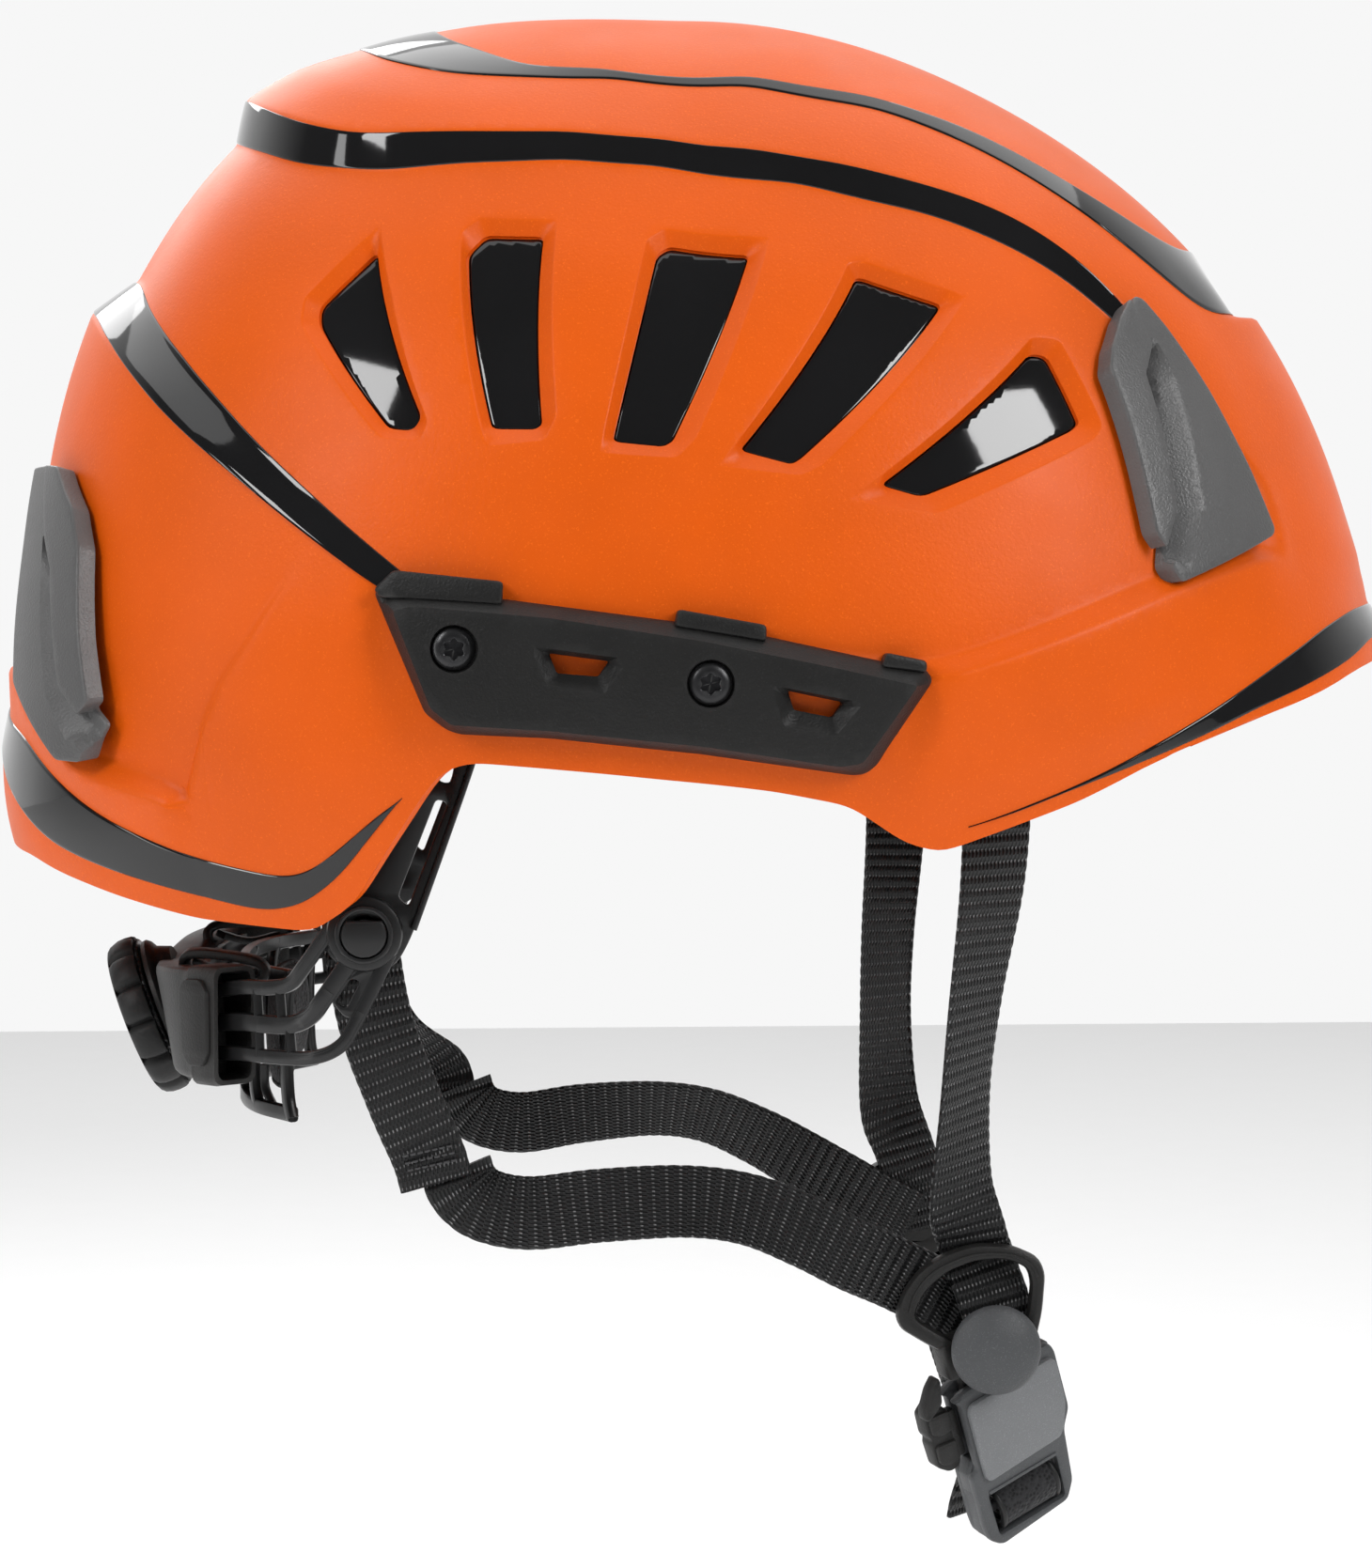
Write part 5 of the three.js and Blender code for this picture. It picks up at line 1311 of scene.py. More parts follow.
def build_housing(finish, cover_finish):
    path, away = housing_line(49)
    low, high, inner, outer = -57.4, -33.0, -5.0, 5.2
    section = np.array(round_rect(high - low, outer - inner, 2.0, 3)) + ((low + high) / 2,
                                                                         (inner + outer) / 2)
    rows = []

    def row(i, shrink=0.0):
        centre = section.mean(0)
        factor = 1 - shrink / np.abs(section - centre).max(0)
        return [housing_point(path[i], away[i], *(centre + (p - centre) * factor)) for p in section]

    last = len(path) - 1
    rows += [row(4, 2.0), row(1, 1.7), row(0, 1.2), row(0, 0.3), row(1, 0.0), row(4, 0.0), row(5, 0.9)]
    rows += [row(i, 0.9) for i in range(6, last - 5)]
    rows += [row(last - 5, 0.9), row(last - 4), row(last - 1), row(last, 0.3), row(last, 1.2),
             row(last - 1, 1.7),
             row(last - 4, 2.0)]
    grid = np.array(rows)
    count, cols = grid.shape[:2]
    faces = grid_faces(count, cols, 0, True)
    faces += [tuple(reversed(range(cols))), tuple(range((count - 1) * cols, count * cols))]
    housing = Parts().add(grid.reshape(-1, 3), faces)
    octagon = [(0.4, 7.5), (2.8, 10.2), (8.2, 10.2), (10.6, 7.5), (10.6, -6.5), (8.2, -9.0), (2.8, -9.0),
               (0.4, -6.5)]
    fine, fine_away = housing_line(400)
    run = np.concatenate([[0], np.cumsum(np.linalg.norm(np.diff(fine, axis=0), axis=1))])

    def on_face(u, v, w, flip):
        i = int(np.clip(np.searchsorted(run, u), 0, 399))
        if flip:
            i = 399 - i
        return housing_point(fine[i], fine_away[i], HOUSING_MIDDLE + v, 4.6 + w)

    for flip in (False, True):
        panel = arc_round([(u * 0.95 + 0.9, v * 0.92) for u, v in octagon], 1.0, 2)
        housing.add(*plate(panel, 1.5, 0.4, lambda u, v, w, flip=flip: on_face(u, v, w, flip)))
    housing.add(*lathe([(12.4, -4.0), (13.6, -1.0), (15.0, -0.2), (15.6, 0.6), (15.5, 1.5), (15.0, 1.8),
                        (4.0, 1.8),
                        (3.4, 1.6)], 72, KNOB_SEAT, KNOB_AXIS))
    for sign in (-1, 1):
        y = 34.0 * sign
        loop = [(-106.0, y * 0.8, -38.6), (-107.2, y * 0.86, -35.2), (-104.0, y * 0.96, -33.4),
                (-93.0, y * 1.2, -34.0),
                (-89.6, y * 1.26, -36.0), (-91.4, y * 1.24, -39.0), (-98.0, y * 1.1, -41.8)]
        housing.add(*bar(loop, (0, 1, 0), 5.0, 1.9, 0.6, 60))
        housing.add(*bar([(-104.5, y * 0.9, -35.6), (-98.5, y * 1.06, -37.6), (-92.4, y * 1.2, -36.8)],
                         (0, 1, 0), 3.4,
                         1.5, 0.5, 30))
    piece("adjuster_housing", housing.points, housing.faces, finish, ADJUSTER, ["nape_housing"],
          "matt_plastic", 30)
    cover = []
    for i in range(8, last - 7):
        cover.append([housing_point(path[i], away[i], z, out) for z, out in
                      [(z, -5.2 - 0.35 * math.cos((z + 35.8) * 1.4)) for z in np.linspace(-54.6, -35.8, 28)]])
    back = [[housing_point(path[i], away[i], z, -3.9) for z in np.linspace(-54.6, -35.8, 28)]
            for i in range(8, last - 7)]
    piece("adjuster_cover", *grid_solid(cover, back), cover_finish, ADJUSTER, ["nape_cover"], "satin_nylon",
          40)


def build_knob(finishes):
    def scallop(radius, along, angle):
        """twelve grips divided by grooves"""
        if radius < 15.9:
            return radius
        phase = (angle * 12 / (2 * math.pi)) % 1
        groove = math.exp(-((min(phase, 1 - phase) / 0.09) ** 2))
        return radius - 1.5 * groove + 0.35 * math.sin(math.pi * phase) ** 2

    grip = [(15.75, 3.0), (16.2, 2.75), (17.0, 3.0), (17.3, 3.6), (17.45, 5.0), (17.35, 6.6), (16.9, 7.9),
            (16.2, 8.7), (15.7, 9.1), (14.4, 9.3), (13.6, 9.0), (13.3, 8.4)]
    count = 12 * 16
    inner = [(13.3, 7.2), (15.0, 6.8), (15.6, 5.0), (15.6, 3.2)]
    points, faces = lathe(grip + inner, count, KNOB_SEAT, KNOB_AXIS, scallop)
    faces = faces[:-2]
    rows = len(grip) + len(inner)
    faces += [((rows - 1) * count + k, (rows - 1) * count + (k + 1) % count, (k + 1) % count, k)
              for k in range(count)]
    piece("knob_tyre", points, faces, finishes["rubber"], KNOB, ["knob_grip"], "rubber_grip", 40)

    def ribbed(radius, along, angle):
        return radius + (0.22 * math.cos(60 * angle) if radius > 16.1 else 0)

    core = [(3.2, 2.0), (15.8, 2.0), (16.2, 2.15), (16.35, 2.45), (16.2, 2.7), (15.5, 2.9), (15.3, 6.8),
            (13.1, 7.3),
            (13.0, 8.6), (12.6, 8.9), (11.8, 8.9), (11.4, 8.5), (11.2, 7.6), (8.0, 7.2), (7.6, 7.9),
            (4.4, 7.9),
            (3.8, 7.5), (3.6, 6.4), (0.4, 6.3)]
    piece("knob_wheel", *lathe(core, 240, KNOB_SEAT, KNOB_AXIS, ribbed), finishes["satin"], KNOB,
          ["knob_core"],
          "satin_nylon", 30)
    screw = [(1.6, 2.0), (1.6, 6.5), (3.0, 6.5), (3.05, 7.0), (2.8, 7.5), (1.9, 7.7), (1.5, 7.65),
             (1.45, 6.9),
             (0.2, 6.8)]
    piece("knob_bolt", *lathe(screw, 48, KNOB_SEAT, KNOB_AXIS,
                              lambda r, d,
                              a: r * (1 + 0.13 * math.cos(6 * a)) if r < 1.55 and d > 6.6 else r),
          finishes["steel"], KNOB, ["knob_screw"], "dark_steel", 30)

    def toothed(radius, along, angle):
        return radius + (0.55 * math.cos(12 * angle) - 0.4 if radius > 4 else 0)

    pinion = [(0.3, -6.4), (4.1, -6.3), (4.25, -6.0), (4.25, -3.2), (4.1, -2.9), (2.9, -2.8), (2.85, 2.9),
              (0.3, 3.0)]
    piece("knob_gear", *lathe(pinion, 96, KNOB_SEAT, KNOB_AXIS, toothed), finishes["satin"], KNOB,
          ["knob_pinion"],
          "satin_nylon", 30)


def build_nape_frame(finish):
    plan = [(-84, -44), (-92, -30), (-96, -12), (-96, 12), (-92, 30), (-84, 44)]
    frame_bars = Parts()
    for z, high in ((-37.5, 3.2), (-66, 3.2)):
        frame_bars.add(*bar([(x, y, z) for x, y in plan], (0, 0, 1), high, 2.4, 0.7, 60))
    for x, y in ((-84.8, -42.6), (-92.4, -29), (-96.2, -10), (-96.2, 10), (-92.4, 29), (-84.8, 42.6)):
        flare = 1.3 * (1 if y > 0 else -1)
        frame_bars.add(*bar([(x + 0.6, y + flare, -36.6), (x - 0.3, y, -42), (x - 0.6, y, -52),
                             (x - 0.3, y, -62),
                             (x + 0.6, y + flare, -66.8)], (0.3 * y, 28, 0), 3.2, 2.3, 0.7, 24))
    for y in (-36, 36):
        frame_bars.add(*bar([(-88.4, y * 0.96, -66), (-90.4, y * 0.9, -62), (-90.6, y * 0.9, -57)], (0, 1, 0),
                            2.2, 1.8))
    piece("nape_loops", frame_bars.points, frame_bars.faces, finish, ADJUSTER, ["nape_frame"], "satin_nylon",
          34)


# ---------------------------------------------------------------- padding and liner
def cushion(name, node, centre, out, up, height, thickness, finish, body, slot="padding", channels=()):
    """a sewn pad on a curved line: crowned face, sides that pull in, quilted channels and a piped seam"""
    centre, out = np.asarray(centre, float), norm(out)
    up = np.asarray(up, float)
    run = np.concatenate([[0], np.cumsum(np.linalg.norm(np.diff(centre, axis=0), axis=1))])
    half = run[-1] / 2
    front, back, seam_path = [], [], []
    across = np.linspace(-1, 1, 31)
    for c, o, r in zip(centre, out, run):
        end = min(r, run[-1] - r)
        round_end = math.sqrt(max(0.0, 1 - max(0.0, 1 - end / (height * 0.42)) ** 2))
        tall = height / 2 * (0.55 + 0.45 * round_end)
        dip = sum(math.exp(-(((r - half) - s * half) / 1.5) ** 2) for s in channels)
        front_row, back_row = [], []
        for v in across:
            crown = (1 - abs(v) ** 2.6) ** 0.5 * min(1.0, 0.12 + math.sqrt(max(0.0, min(1.0, end / 9))))
            quilt = 0.55 * min(1, dip)
            front_row.append(c + up * tall * v + o * (-thickness * 0.18 - thickness * 0.62 * crown * (1 - quilt)))
            back_row.append(c + up * tall * v + o * (-thickness * 0.18 + 0.12 + thickness * 0.3 * crown))
        front.append(front_row)
        back.append(back_row)
        seam_path.append((c, tall, o))
    pad = Parts().add(*grid_solid(front, back))
    upper = [c + up * t - o * thickness * 0.15 for c, t, o in seam_path]
    lower = [c - up * t - o * thickness * 0.15 for c, t, o in reversed(seam_path)]
    loop = np.array(upper + lower)
    sides = np.array([o for _, _, o in seam_path] + [o for _, _, o in reversed(seam_path)])
    pad.add(*sweep(loop, sides, round_rect(1.3, 1.1, 0.5, 3), True))
    made = piece(name, pad.points, pad.faces, finish, body, [node], slot, 60)
    return made


def arc_line(radius_x, radius_y, half_angle, z, count):
    turn = np.radians(np.linspace(-half_angle, half_angle, count))
    points = np.stack([radius_x * np.cos(turn), radius_y * np.sin(turn), np.full(count, z)], 1)
    out = np.stack([np.cos(turn) / radius_x, np.sin(turn) / radius_y, np.zeros(count)], 1)
    return points, norm(out)


def build_headband(finishes):
    line, out = arc_line(103, 80, 52, 21, 81)
    up = np.array((0, 0, 1.0))
    outer, inner = [], []
    for v in np.linspace(-12, 12, 17):
        lip = 0.5 * (1 if abs(v) > 10 else 0)
        outer.append(line + up * v + out * (0.9 + lip))
        inner.append(line + up * v - out * (0.9 + 0.25 * math.cos(v * 1.2)))
    piece("brow_band", *grid_solid(outer, inner), finishes["satin"], HELMET, ["forehead_band"], "satin_nylon",
          34)
    line, out = arc_line(97.8, 74.8, 46, 20, 121)
    cushion("brow_pad", "forehead_pad", line, out, up, 26, 5.0, finishes["padding"], HELMET,
            channels=(-0.72, -0.36, 0, 0.36, 0.72))


def build_crown_pad(finish):
    top, bottom = [], []
    rows, columns = 34, 96
    for r in range(rows):
        share = 1 - r / (rows - 1)
        tilt = math.radians(26 * share)
        crown = (1 - share ** 4) ** 0.5
        lower, upper = [], []
        for c in range(columns):
            turn = 2 * math.pi * c / columns
            shape = 1 - 0.045 * share * (1 - math.cos(4 * turn)) / 2
            quilt = 0.5 * math.exp(-((share - 0.55) / 0.05) ** 2) + 0.45 * math.exp(
                -((((turn * 3 / math.pi + 0.5) % 1) - 0.5) * share * 9) ** 2) * (share > 0.1)
            thickness = 5.4 * crown * (1 - min(0.6, quilt * 0.8)) + 0.3
            for store, radius in ((upper, 103.2), (lower, 103.2 - thickness)):
                reach = radius * math.sin(tilt) * shape
                store.append((1.05 * reach * math.cos(turn), 0.85 * reach * math.sin(turn),
                              CENTRE_Z + radius * math.cos(tilt)))
        top.append(upper)
        bottom.append(lower)
    pad = Parts().add(*grid_solid(top[:-1], bottom[:-1], True))
    start_top = [tuple(p) for p in top[-2]]
    start_bottom = [tuple(p) for p in bottom[-2]]
    pad.add([*start_top, (0, 0, CENTRE_Z + 103.2)] + [*start_bottom, (0, 0, CENTRE_Z + 97.6)],
            [(k, (k + 1) % columns, columns) for k in range(columns)]
            + [(columns + 1 + (k + 1) % columns, columns + 1 + k, 2 * columns + 1) for k in range(columns)]
            + [(k, (k + 1) % columns, columns + 1 + (k + 1) % columns,
                columns + 1 + k) for k in range(columns)])
    made = piece("crown_cushion", pad.points, pad.faces, finish, HELMET, ["crown_pad"], "padding", 60)


def cavity_radius(a, e):
    c, s = np.cos(np.radians(a)), np.sin(np.radians(a))
    level = (c / 112) ** 2 + (s / 86) ** 2
    k = np.sin(np.radians(e)) ** 2
    return (level * (1 - k) + k / 106 ** 2) ** -0.5


def build_liner(finish):
    azimuth = np.arange(0, 360, 2.5)
    folded = np.where(azimuth > 180, 360 - azimuth, azimuth)
    outer, inner = [], []
    levels = [-1.0, -0.8, -0.2, 0.6, 1.8, *np.arange(4, 88, 2.5), 88.5]
    for e in levels:
        lip = 3.4 * (1 - np.clip((e + 1) / 2.8, 0, 1)) ** 2.2
        outer.append(surface(np.where(azimuth > 180, azimuth - 360, azimuth), e, -7.4 - lip))
        spokes = sum(np.exp(-(((folded - s) * math.cos(math.radians(e)) / 3.2) ** 2)) for s in (0, 45, 90,
                                                                                                135, 180))
        hoop_line = math.exp(-(((e - 30) / 2.6) ** 2)) + math.exp(-(((e - 58) / 2.6) ** 2))
        channel = 3.0 * np.clip(spokes * fade(e, 20, 8) + hoop_line, 0, 1) * fade(e, 76, 86)
        wanted = cavity_radius(folded, e) - base_radius(folded, e) + lip + channel
        inner.append(surface(np.where(azimuth > 180, azimuth - 360, azimuth), e, np.minimum(wanted, -10)))
    outer, inner = np.array(outer), np.array(inner)
    columns = len(azimuth)
    points, faces = grid_solid(outer, inner, True)
    total = len(levels) * columns
    last = (len(levels) - 1) * columns
    closing = {(last + c, last + (c + 1) % columns, last + (c + 1) % columns + total, last + c + total)
               for c in range(columns)}
    faces = [f for f in faces if f not in closing]
    apex = np.array([outer[-1].mean(0), inner[-1].mean(0)])
    faces += [(last + c, last + (c + 1) % columns, 2 * total) for c in range(columns)]
    faces += [(last + total + (c + 1) % columns, last + total + c, 2 * total + 1) for c in range(columns)]
    piece("foam_shell", np.vstack([points, apex]), faces, finish, HELMET, ["foam_liner"], "foam", 50)


# ---------------------------------------------------------------- webbing
RIB = 2.7


def webbing(name, node, stations, width, finish, body=HELMET, thickness=1.4, blend=None):
    """a strap woven with cross ribs; stations are (point, direction across, width share)"""
    line = smooth_path([p for p, *_ in stations], 600)
    across = norm(smooth_path([s for _, s, *_ in stations], 600))
    share = smooth_path([[s[2] if len(s) > 2 else 1.0] for s in stations], 600)[:, 0]
    run = np.concatenate([[0], np.cumsum(np.linalg.norm(np.diff(line, axis=0), axis=1))])
    at = np.linspace(0, run[-1], int(run[-1] / RIB * 6) + 2)
    pick = lambda values: np.stack([np.interp(at, run, v) for v in np.asarray(values).T], -1)
    line, across, share = pick(line), pick(across), np.interp(at, run, share)
    tangent = norm(np.gradient(line, axis=0))
    across = norm(across - tangent * np.sum(tangent * across, 1, keepdims=True))
    out = np.cross(tangent, across)
    rib = np.abs(np.cos(math.pi * at / RIB)) ** 0.7
    u = np.array([-1, -0.985, -0.94, -0.86, -0.7, -0.45, -0.2, 0, 0.2, 0.45, 0.7, 0.86, 0.94, 0.985, 1.0])
    edge = np.sqrt(1 - np.clip((np.abs(u) - 0.86) / 0.14, 0, 1) ** 2)
    front, back = [], []
    for k, s in enumerate(u):
        half = thickness / 2 * (0.22 + 0.78 * edge[k])
        raised = half - 0.24 * (1 - rib) * edge[k]
        scallop = 0.12 * (rib - 0.5) * (abs(s) > 0.9) * np.sign(s)
        side = across * (s * share * width / 2 + scallop)[:, None]
        front.append(line + side + out * raised[:, None])
        back.append(line + side - out * (half - 0.2 * rib * edge[k])[:, None])
    points, faces = grid_solid(front, back)
    mesh = bpy.data.meshes.new(name)
    mesh.from_pydata((points * MM).tolist(), [], faces)
    weave = mesh.uv_layers.new(name="weave")
    rows, cols = len(u), len(at)
    index = np.array([loop.vertex_index for loop in mesh.loops]) % (rows * cols)
    place = np.stack([u[index // cols] * width / 2, at[index % cols]], 1)
    weave.data.foreach_set("uv", place.astype(np.float32).ravel())
    made = finish_piece(name, mesh, finish, None if blend else body, [node], 70)
    if blend:
        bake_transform(made)
    return made


def stitched(p, side, along, out, size, rows=3):
    """rows of raised stitches over a sewn join"""
    parts = Parts()
    wide, long = size
    for r in range(rows):
        offset = (r / (rows - 1) - 0.5) * long
        for k in range(int(wide / 1.5)):
            start = np.asarray(p) + side * ((k + 0.15) * 1.5 - wide / 2) + along * offset
            parts.add(*sweep([start, start + side * 0.5 + out * 0.22, start + side * 1.0],
                             [along] * 3, round_rect(0.45, 0.4, 0.15, 1)))
    return parts


def build_straps(finish, thread):
    rear = [((-69.8, -73.2, 5), (1, 0.04, 0.05)), ((-69.4, -72.6, -20), (1, 0.04, 0.1)),
            ((-66.4, -70.5, -42), (1, 0.06, 0.2)), ((-60.8, -67, -59), (1, 0.1, 0.3)),
            ((-55.8, -63.6, -71.5), (1, 0.1, 0.2)), ((-54.2, -62.4, -77.4), (1, 0.1, 0.02))]
    jaw = [((-50.2, -60.6, -75.0), (1, 0.1, -0.05)), ((-48.4, -60.2, -79.2), (0.93, 0.1, 0.36)),
           ((-43.8, -60.2, -82.6), (0.6, 0.1, 0.8)), ((-35, -61, -84.0), (0.12, 0.1, 1)),
           ((-21.4, -63, -82.3), (-0.05, 0.2, 1)), ((-4, -64, -81.4), (0.05, 0.4, 1)),
           ((9, -64, -83.2), (0.2, 0.42, 1)), ((21, -62.8, -88.2), (0.4, 0.3, 1)),
           ((31, -60.6, -93.6), (0.5, 0.1, 1)), ((40.5, -55.6, -98.6), (0.5, 0, 1)),
           ((49.5, -53.4, -103.6), (0.5, 0, 1)), ((57, -54.2, -107.6), (0.5, 0, 1))]
    front = [((56.6, -85.2, 6), (1, 0.3, 0)), ((56, -81, -16), (1, 0.45, 0)), ((53.6, -75, -40), (1, 0.8, 0)),
             ((52.4, -69.5, -60), (1, 0.9, 0.05)), ((52.6, -63.2, -80), (1, 0.5, 0.0)),
             ((55.4, -57.4, -90), (1, 0, -0.1)), ((57.6, -55.2, -96), (1, 0, -0.15)),
             ((60.0, -56.8, -103), (1, 0, -0.2)), ((62.0, -57.2, -110), (1, 0, -0.25), 0.94)]
    twisted = [((p[0] - 4.5, p[1] + 5.5, p[2]), (s[0] * 0.6, s[1] + 0.8, s[2])) if -60 < p[2] < -10 else (p,
                                                                                                          s)
               for p, s in rear]
    for side, sign in SIDES:
        flip = lambda stations: [(np.array(p) * (1, sign, 1), np.array(s) * (1, sign, 1), *w)
                                 for p, s, *w in stations]
        webbing(f"rear_webbing_{side}", f"rear_strap_{side}", flip(rear if sign > 0 else twisted), 14.8,
                finish)
        webbing(f"jaw_webbing_{side}", f"jaw_strap_{side}", flip(jaw), 14.8, finish)
        webbing(f"front_webbing_{side}", f"front_strap_{side}", flip(front), 14.8, finish)
        seam = stitched((-55.2, -64.2, -72.0), norm((1, 0.1, 0.2)), norm((0.3, 0.2, -0.95)),
                        norm((-0.1, -0.97, -0.2)), (11, 3.2))
        use = seam if sign > 0 else seam.mirrored()
        piece(f"fold_stitches_{side}", use.points, use.faces, thread, HELMET, (), "webbing", 60)


def build_anchors(finish):
    for name, x, y, z, turn in (("rear", -70.4, -75.8, 5, 2), ("front", 57.6, -87.4, 5, 17)):
        anchor = Parts()
        c, s = math.cos(math.radians(turn)), math.sin(math.radians(turn))
        place = lambda u, w, v: (x + u * c - w * s, y + u * s + w * c, z + v)
        slot = round_rect(12.4, 2.4, 0.8)
        anchor.add(*plate(round_rect(16, 12, 2.4, 4), 3.6, 0.7, lambda u, v, w: place(u, w - 1.8, v),
                          [[(u, v - 2.6) for u, v in slot]]))
        anchor.add(*plate([(u, v + 2.4) for u, v in round_rect(9, 3, 0.8, 3)], 1.0, 0.3,
                          lambda u, v, w: place(u, w - 2.6, v)))
        both_sides(f"{name}_anchor", anchor, finish, HELMET, f"{name}_strap_anchor", "satin_nylon")


# ---------------------------------------------------------------- dividers and buckle
BUCKLE_ORIGIN = np.array((60.7, -57, -114.0))
ACROSS = norm((0.846, 0.39, 0.363))
OUT = norm(np.cross((0.273, 0.2686, -0.924), ACROSS))
ALONG = np.cross(ACROSS, OUT)


def buckle_at(s, t, d):
    """a point of the buckle: across its width, along its length, out of its face"""
    return BUCKLE_ORIGIN + ACROSS * s + ALONG * t + OUT * d


def buckle_plate(outline, near, far, bevel=0.5, holes=(), corner=1.2):
    low = min(near, far)
    return plate(arc_round(outline, corner, 4), abs(far - near), bevel, lambda s, t,
                 w: buckle_at(s, t, low + w),
                 [arc_round(h, 0.8, 3) for h in holes])


def divider_ring():
    outline = [(39.6, -106.3), (41.2, -101.5), (44.6, -96.8), (49.5, -93.7), (56, -91.6), (63.5, -92),
               (69.2, -94.6),
               (70.6, -97.9), (70, -106), (68.4, -113), (62, -117.4), (54, -116.4), (46.5, -112.6),
               (40.6, -109)]
    window = [(43.2, -106.6), (45.8, -101.2), (50.3, -97.3), (56, -95.1), (62.2, -94.7), (66.8, -96.6),
              (67.7, -100),
              (66.9, -107), (60, -112.4), (53.5, -112.6), (47.4, -109.4)]
    ring = Parts().add(*plate(arc_round(outline, 2.4, 3), 4.0, 1.2, side_plane(-60.4),
                              [arc_round(window, 2.0, 3)]))
    groove = [(42.4, -105.4), (43.6, -101.6), (46.6, -97.8), (50.6, -95.4), (56.3, -93.6), (63.2, -93.8),
              (67.4, -95.9), (68.8, -98.4)]
    ring.add(*bar([(x, -60.4, z) for x, z in groove], (0, 1, 0), 0.7, 0.5, 0.2, 60))
    ring.add(*lathe([(7.4, -60.6), (7.4, -57.0), (6.9, -56.6)], 48, (60.1, 0, -113.1), (0, 1, 0)))
    return ring


def build_dividers(finish, cap_finish):
    right = divider_ring()
    right.add(*buckle_plate([(-11.2, -5.5), (9, -4.5), (9.4, 3.4), (-11.2, 3.0)], -6.6, -1.5, 0.8))
    right.add(*buckle_plate([(-7.6, 3), (9.8, 3), (9.8, 16), (7.4, 21.5), (-5.2, 21.5), (-7.6, 16)], -6.3,
                            -3.6, 0.5,
                            [[(-3, 9), (5, 9), (5, 16), (-3, 16)]]))
    piece("ring_divider_right", right.points, right.faces, finish, HELMET, ["divider_right"], "matt_plastic")
    left = divider_ring()
    foot = arc_round([(50.5, -112), (69, -112), (72.5, -131), (57, -131)], 1.6, 3)
    slot = arc_round([(59.1, -123.4), (70.5, -123.4), (70.1, -128), (59.5, -128)], 0.8, 3)
    left.add(*plate(foot, 3.6, 0.8, side_plane(-60.2), [slot]))
    left = left.mirrored()
    piece("ring_divider_left", left.points, left.faces, finish, HELMET, ["divider_left"], "matt_plastic")
    cap = [(0.02, 0.3), (8.3, 0.3), (9.0, 0.6), (9.3, 1.1), (9.2, 1.6), (8.6, 2.3), (7.6, 3.0), (5.8, 3.9),
           (3.8, 4.5), (1.9, 4.8), (0.8, 4.88), (0.02, 4.9)]
    for side, sign in SIDES:
        points, faces = lathe(cap, 64, (60.1, -60.9, -113.1), (0, -1, 0))
        piece(f"press_cap_{side}", np.array(points) * (1, sign, 1), faces, cap_finish, f"{side}_clamp",
              [f"clamp_cap_{side}"], "matt_plastic", 40)


BUCKLE_EDGE = [(-12.2, 7.4), (-8.8, 6.2), (13.4, 6.2), (14.4, 8.2), (14.4, 22.4), (12.0, 26.4), (10.9, 38.6),
               (8.5, 42.4), (-9.5, 43.7), (-12.2, 41.2), (-12.6, 37.8), (-12.5, 25.6), (-10.6, 24.6),
               (-10.6, 8.8)]
BUCKLE_SLOT = [(-9.6, 31), (8.2, 31), (8.0, 41.0), (-9.4, 41.2)]
PAD_EDGE = [(-9.8, 10.6), (-8.6, 9.2), (12.2, 8.8), (13.5, 10.2), (13.3, 20.0), (11.2, 25.6), (9.8, 27.0),
            (-9.0, 27.7), (-9.8, 26.6)]


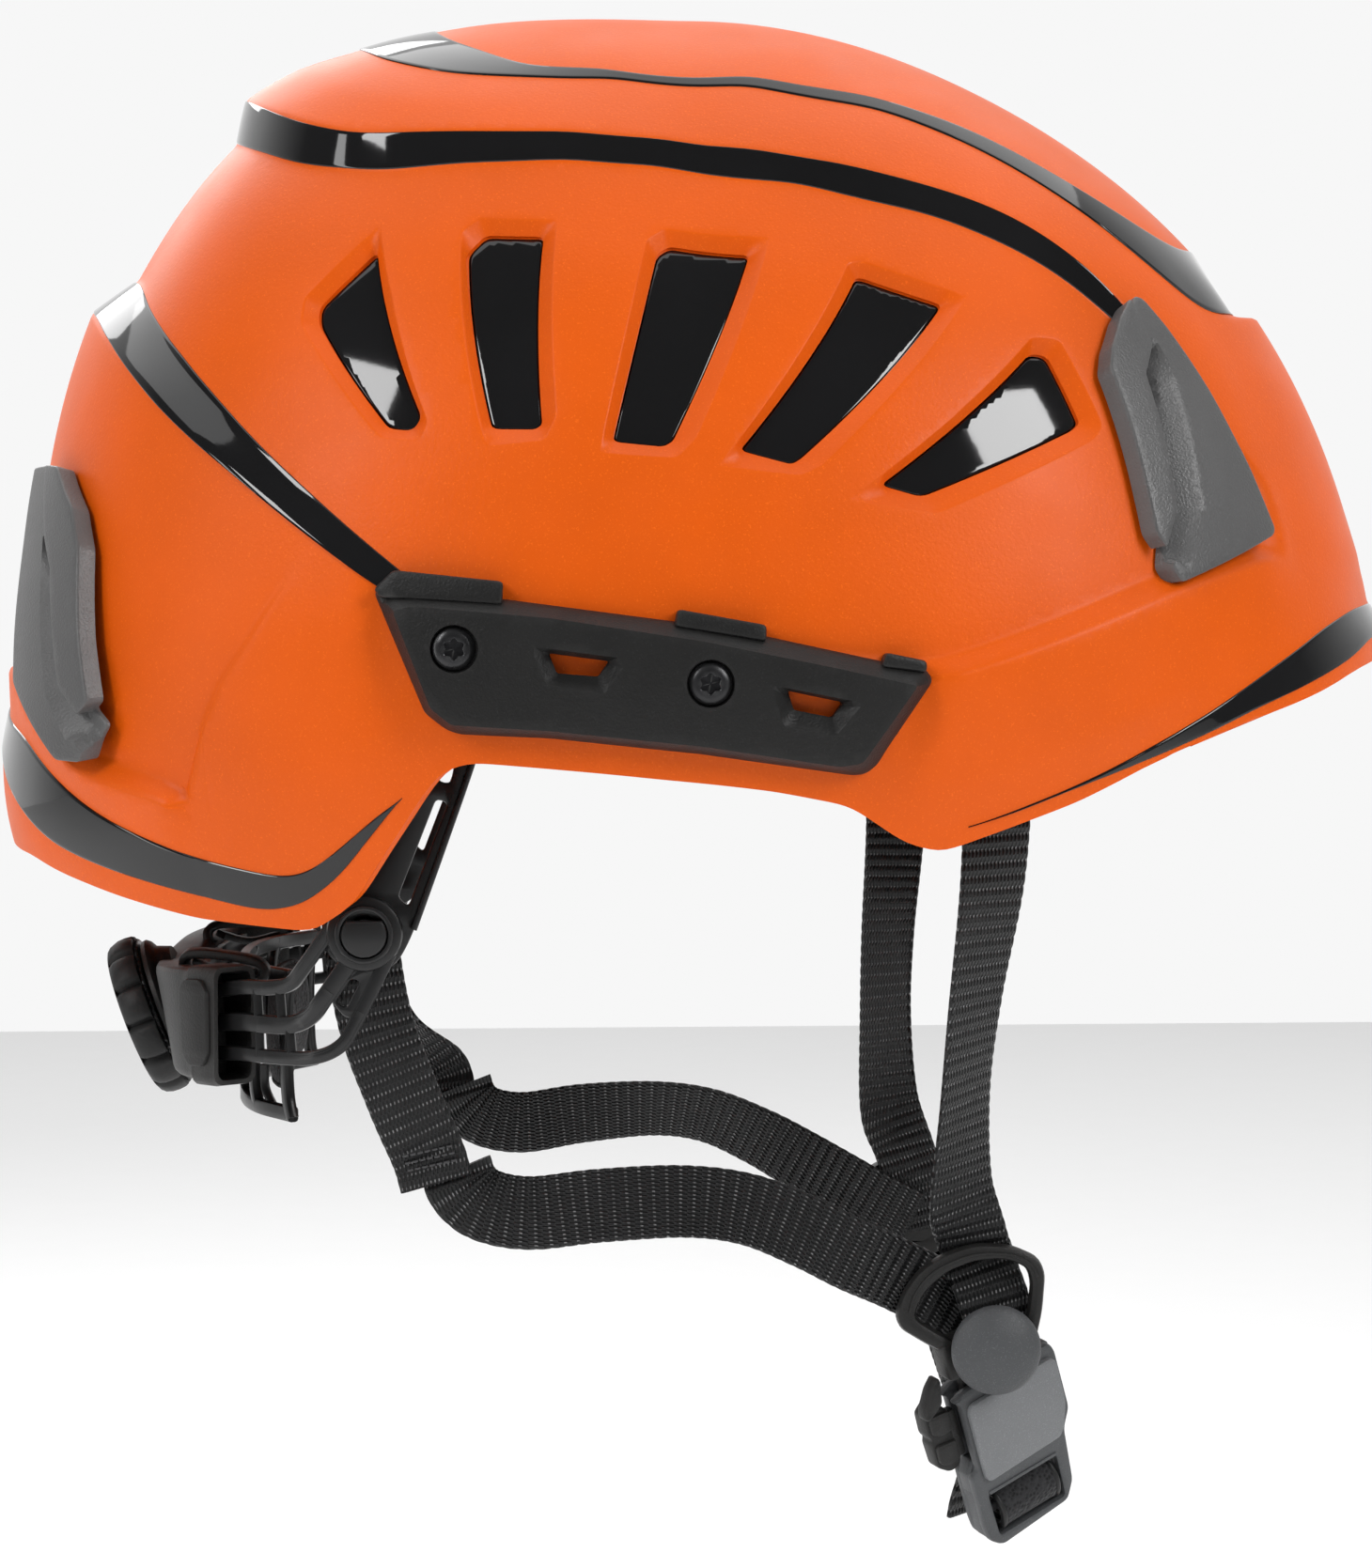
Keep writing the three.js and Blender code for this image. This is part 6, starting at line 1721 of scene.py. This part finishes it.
def build_buckle(case_finish, pad_finish, lever_finish):
    body = Parts()
    body.add(*buckle_plate(BUCKLE_EDGE, -3.6, -1.2, 0.7, [BUCKLE_SLOT]))
    rear_edge = [(s * 0.97, t) for s, t in BUCKLE_EDGE]
    body.add(*buckle_plate(rear_edge, -9.0, -6.6, 0.7, [BUCKLE_SLOT]))
    for rail in ([(-8.9, 8.4), (-7.3, 8.4), (-7.3, 24), (-8.9, 24)],
                 [(10.6, 6.6), (14.2, 6.6), (14.2, 22), (10.6, 24)],
                 [(-10.4, 23), (12.0, 23), (11.6, 30.6), (-12.2, 30.6), (-12.2, 26)],
                 [(-12.2, 30), (-9.7, 30), (-9.5, 43.0), (-12, 41)],
                 [(8.3, 30), (11.4, 30), (10.6, 38.6), (8.3, 42)],
                 [(-11.8, 41.4), (9.0, 41.2), (8.4, 42.2), (-9.4, 43.4)]):
        body.add(*buckle_plate(rail, -7.2, -3.0, 0.3, corner=0.6))
    body.add(*sweep([buckle_at(-10, 36.2, -5), buckle_at(-0.6, 36.2, -5), buckle_at(8.8, 36.2, -5)],
                    [ALONG] * 3,
                    round_rect(2.4, 2.0, 0.9, 3)))
    lip = [(-9.7, 30.2), (8.4, 30.2), (8.2, 31.0), (-9.6, 31.0)]
    body.add(*buckle_plate(lip, -1.8, -0.9, 0.2, corner=0.3))
    piece("buckle_case", body.points, body.faces, case_finish, "buckle", ["buckle_body"], "matt_plastic")
    face = Parts().add(*buckle_plate(PAD_EDGE, -1.9, 0.0, 0.55, corner=1.6))
    piece("buckle_face", face.points, face.faces, pad_finish, "buckle", (), "matt_plastic")
    flange = [(-12.9, 1.6), (-13.6, 0.8), (-15.8, 2.6), (-18.2, 6.2), (-18.8, 8.4), (-17.8, 9.2),
              (-15.6, 7.8),
              (-13.9, 6.8)]
    lever = [(-12.3, 9.4), (-13.9, 8.6), (-14.0, 6.4), (-15.6, 6.6), (-18.2, 8.4), (-18.4, 13.2),
             (-17.7, 14.4),
             (-18.2, 15.6), (-18.0, 21.0), (-15.6, 23.2), (-13.4, 23.2), (-12.3, 22.0)]
    release = Parts().add(*buckle_plate(lever, -8.2, -4.0, 0.6, corner=0.8))
    release.add(*buckle_plate([(-13, 10), (-10.7, 10), (-10.7, 21), (-13, 21)], -6.3, -4.0, 0.3))
    release.add(*buckle_plate(flange, -5.8, -2.2, 0.8, corner=1.0))
    for t in (8.8, 15.8):
        release.add(*buckle_plate([(-12.5, t + 0.6), (-17.6, t), (-17.7, t + 4.2), (-15.8, t + 5.4),
                                   (-12.5, t + 5.2)],
                                  -4.6, -3.1, 0.6, corner=0.9))
    piece("side_release", release.points, release.faces, lever_finish, "release_button", ["buckle_release"],
          "matt_plastic")


def build_chin_webbing(finish, sleeve_finish):
    wrap = [(32.6, -11.4), (32.2, -8.0), (32.9, -4.4), (36.2, -2.3), (39.5, -4.4), (39.4, -8.6),
            (37.4, -12.6)]
    stations = [(buckle_at(-0.6, t, d), ACROSS) for t, d in wrap]
    stations += [((66.6, -30, -146.5), (0.93, 0.16, 0.3)), ((67.6, -12, -147.4), (1, 0.04, 0.12)),
                 ((68.2, 8, -146.4), (1, 0, 0)), ((68.0, 26, -143.4), (1, 0, 0)),
                 ((67.0, 42, -138), (1, 0, 0)),
                 ((65.7, 52.6, -131.8), (1, 0, 0))]
    webbing("chin_strap", "chin_webbing", stations, 12.4, finish,
            blend=("buckle", HELMET, (0.066, -0.026, -0.146), (0.062, 0.048, -0.136)))
    tail = [(buckle_at(-4.5, 30.0, -10.4), ACROSS), (buckle_at(-6.0, 33.0, -11.2), ACROSS),
            (buckle_at(-7.6, 36.5, -12.2), ACROSS), (buckle_at(-8.6, 40.0, -13.2), ACROSS)]
    webbing("strap_tail", "chin_webbing", tail, 12.4, finish, "buckle")
    sleeve = smooth_path([buckle_at(-0.7, t, d) for t, d in ((31.9, -8.6), (31.9, -5.0), (33.0, -1.9),
                                                             (36.2, -0.6),
                                                             (39.5, -2.0), (40.5, -5.2), (40.4, -8.8))], 60)
    piece("slot_sleeve", *sweep(sleeve, [ACROSS] * 60, round_rect(15.0, 1.0, 0.4, 3)), sleeve_finish,
          "buckle", (),
          "webbing", 60)
    for name, s in (("left", -7.1), ("right", 7.1)):
        hem = sleeve + ACROSS * s
        piece(f"sleeve_hem_{name}", *sweep(hem, [ACROSS] * 60, round_rect(1.2, 1.7, 0.55, 3)), finish,
              "buckle", (),
              "webbing", 60)
    around = [(53.4, -130.4), (53.8, -126.6), (56.6, -125.4), (60.4, -125.8), (62.4, -128.4), (61.8, -132.2),
              (58.4, -133.6)]
    webbing("chin_strap_loop", "chin_loop", [((64.8, y, z), (1, 0, 0)) for y, z in around], 9.5, finish)


# ---------------------------------------------------------------- the whole model
set_camera()
finishes = make_materials()
set_studio()
build_shell(finishes["shell"])
build_stripes(finishes["gloss"])
build_vent_panels(finishes["gloss"])
build_rails(finishes["matt"])
build_rail_screws(finishes["steel"])
build_lamp_clips(finishes["clip"])
build_hangers(finishes["satin"])
build_pivots(finishes["satin"])
build_nape_arms(finishes["satin"])
build_housing(finishes["matt"], finishes["satin"])
build_knob(finishes)
build_nape_frame(finishes["satin"])
nape_line = smooth_path([(-86.5, -30, -52), (-90.5, -12, -52), (-90.5, 12, -52), (-86.5, 30, -52)], 81)
nape_out = np.cross(norm(np.gradient(nape_line, axis=0)), (0, 0, -1.0))
cushion("nape_cushion", "nape_pad", nape_line, nape_out, (0, 0, 1.0), 22, 5.0, finishes["padding"], ADJUSTER,
        channels=(-0.35, 0.35))
build_headband(finishes)
build_crown_pad(finishes["padding"])
build_liner(finishes["foam"])
build_straps(finishes["webbing"], finishes["thread"])
build_anchors(finishes["satin"])
build_dividers(finishes["matt"], finishes["pad_face"])
build_buckle(finishes["case"], finishes["pad_light"], finishes["matt"])
build_chin_webbing(finishes["webbing"], finishes["padding"])
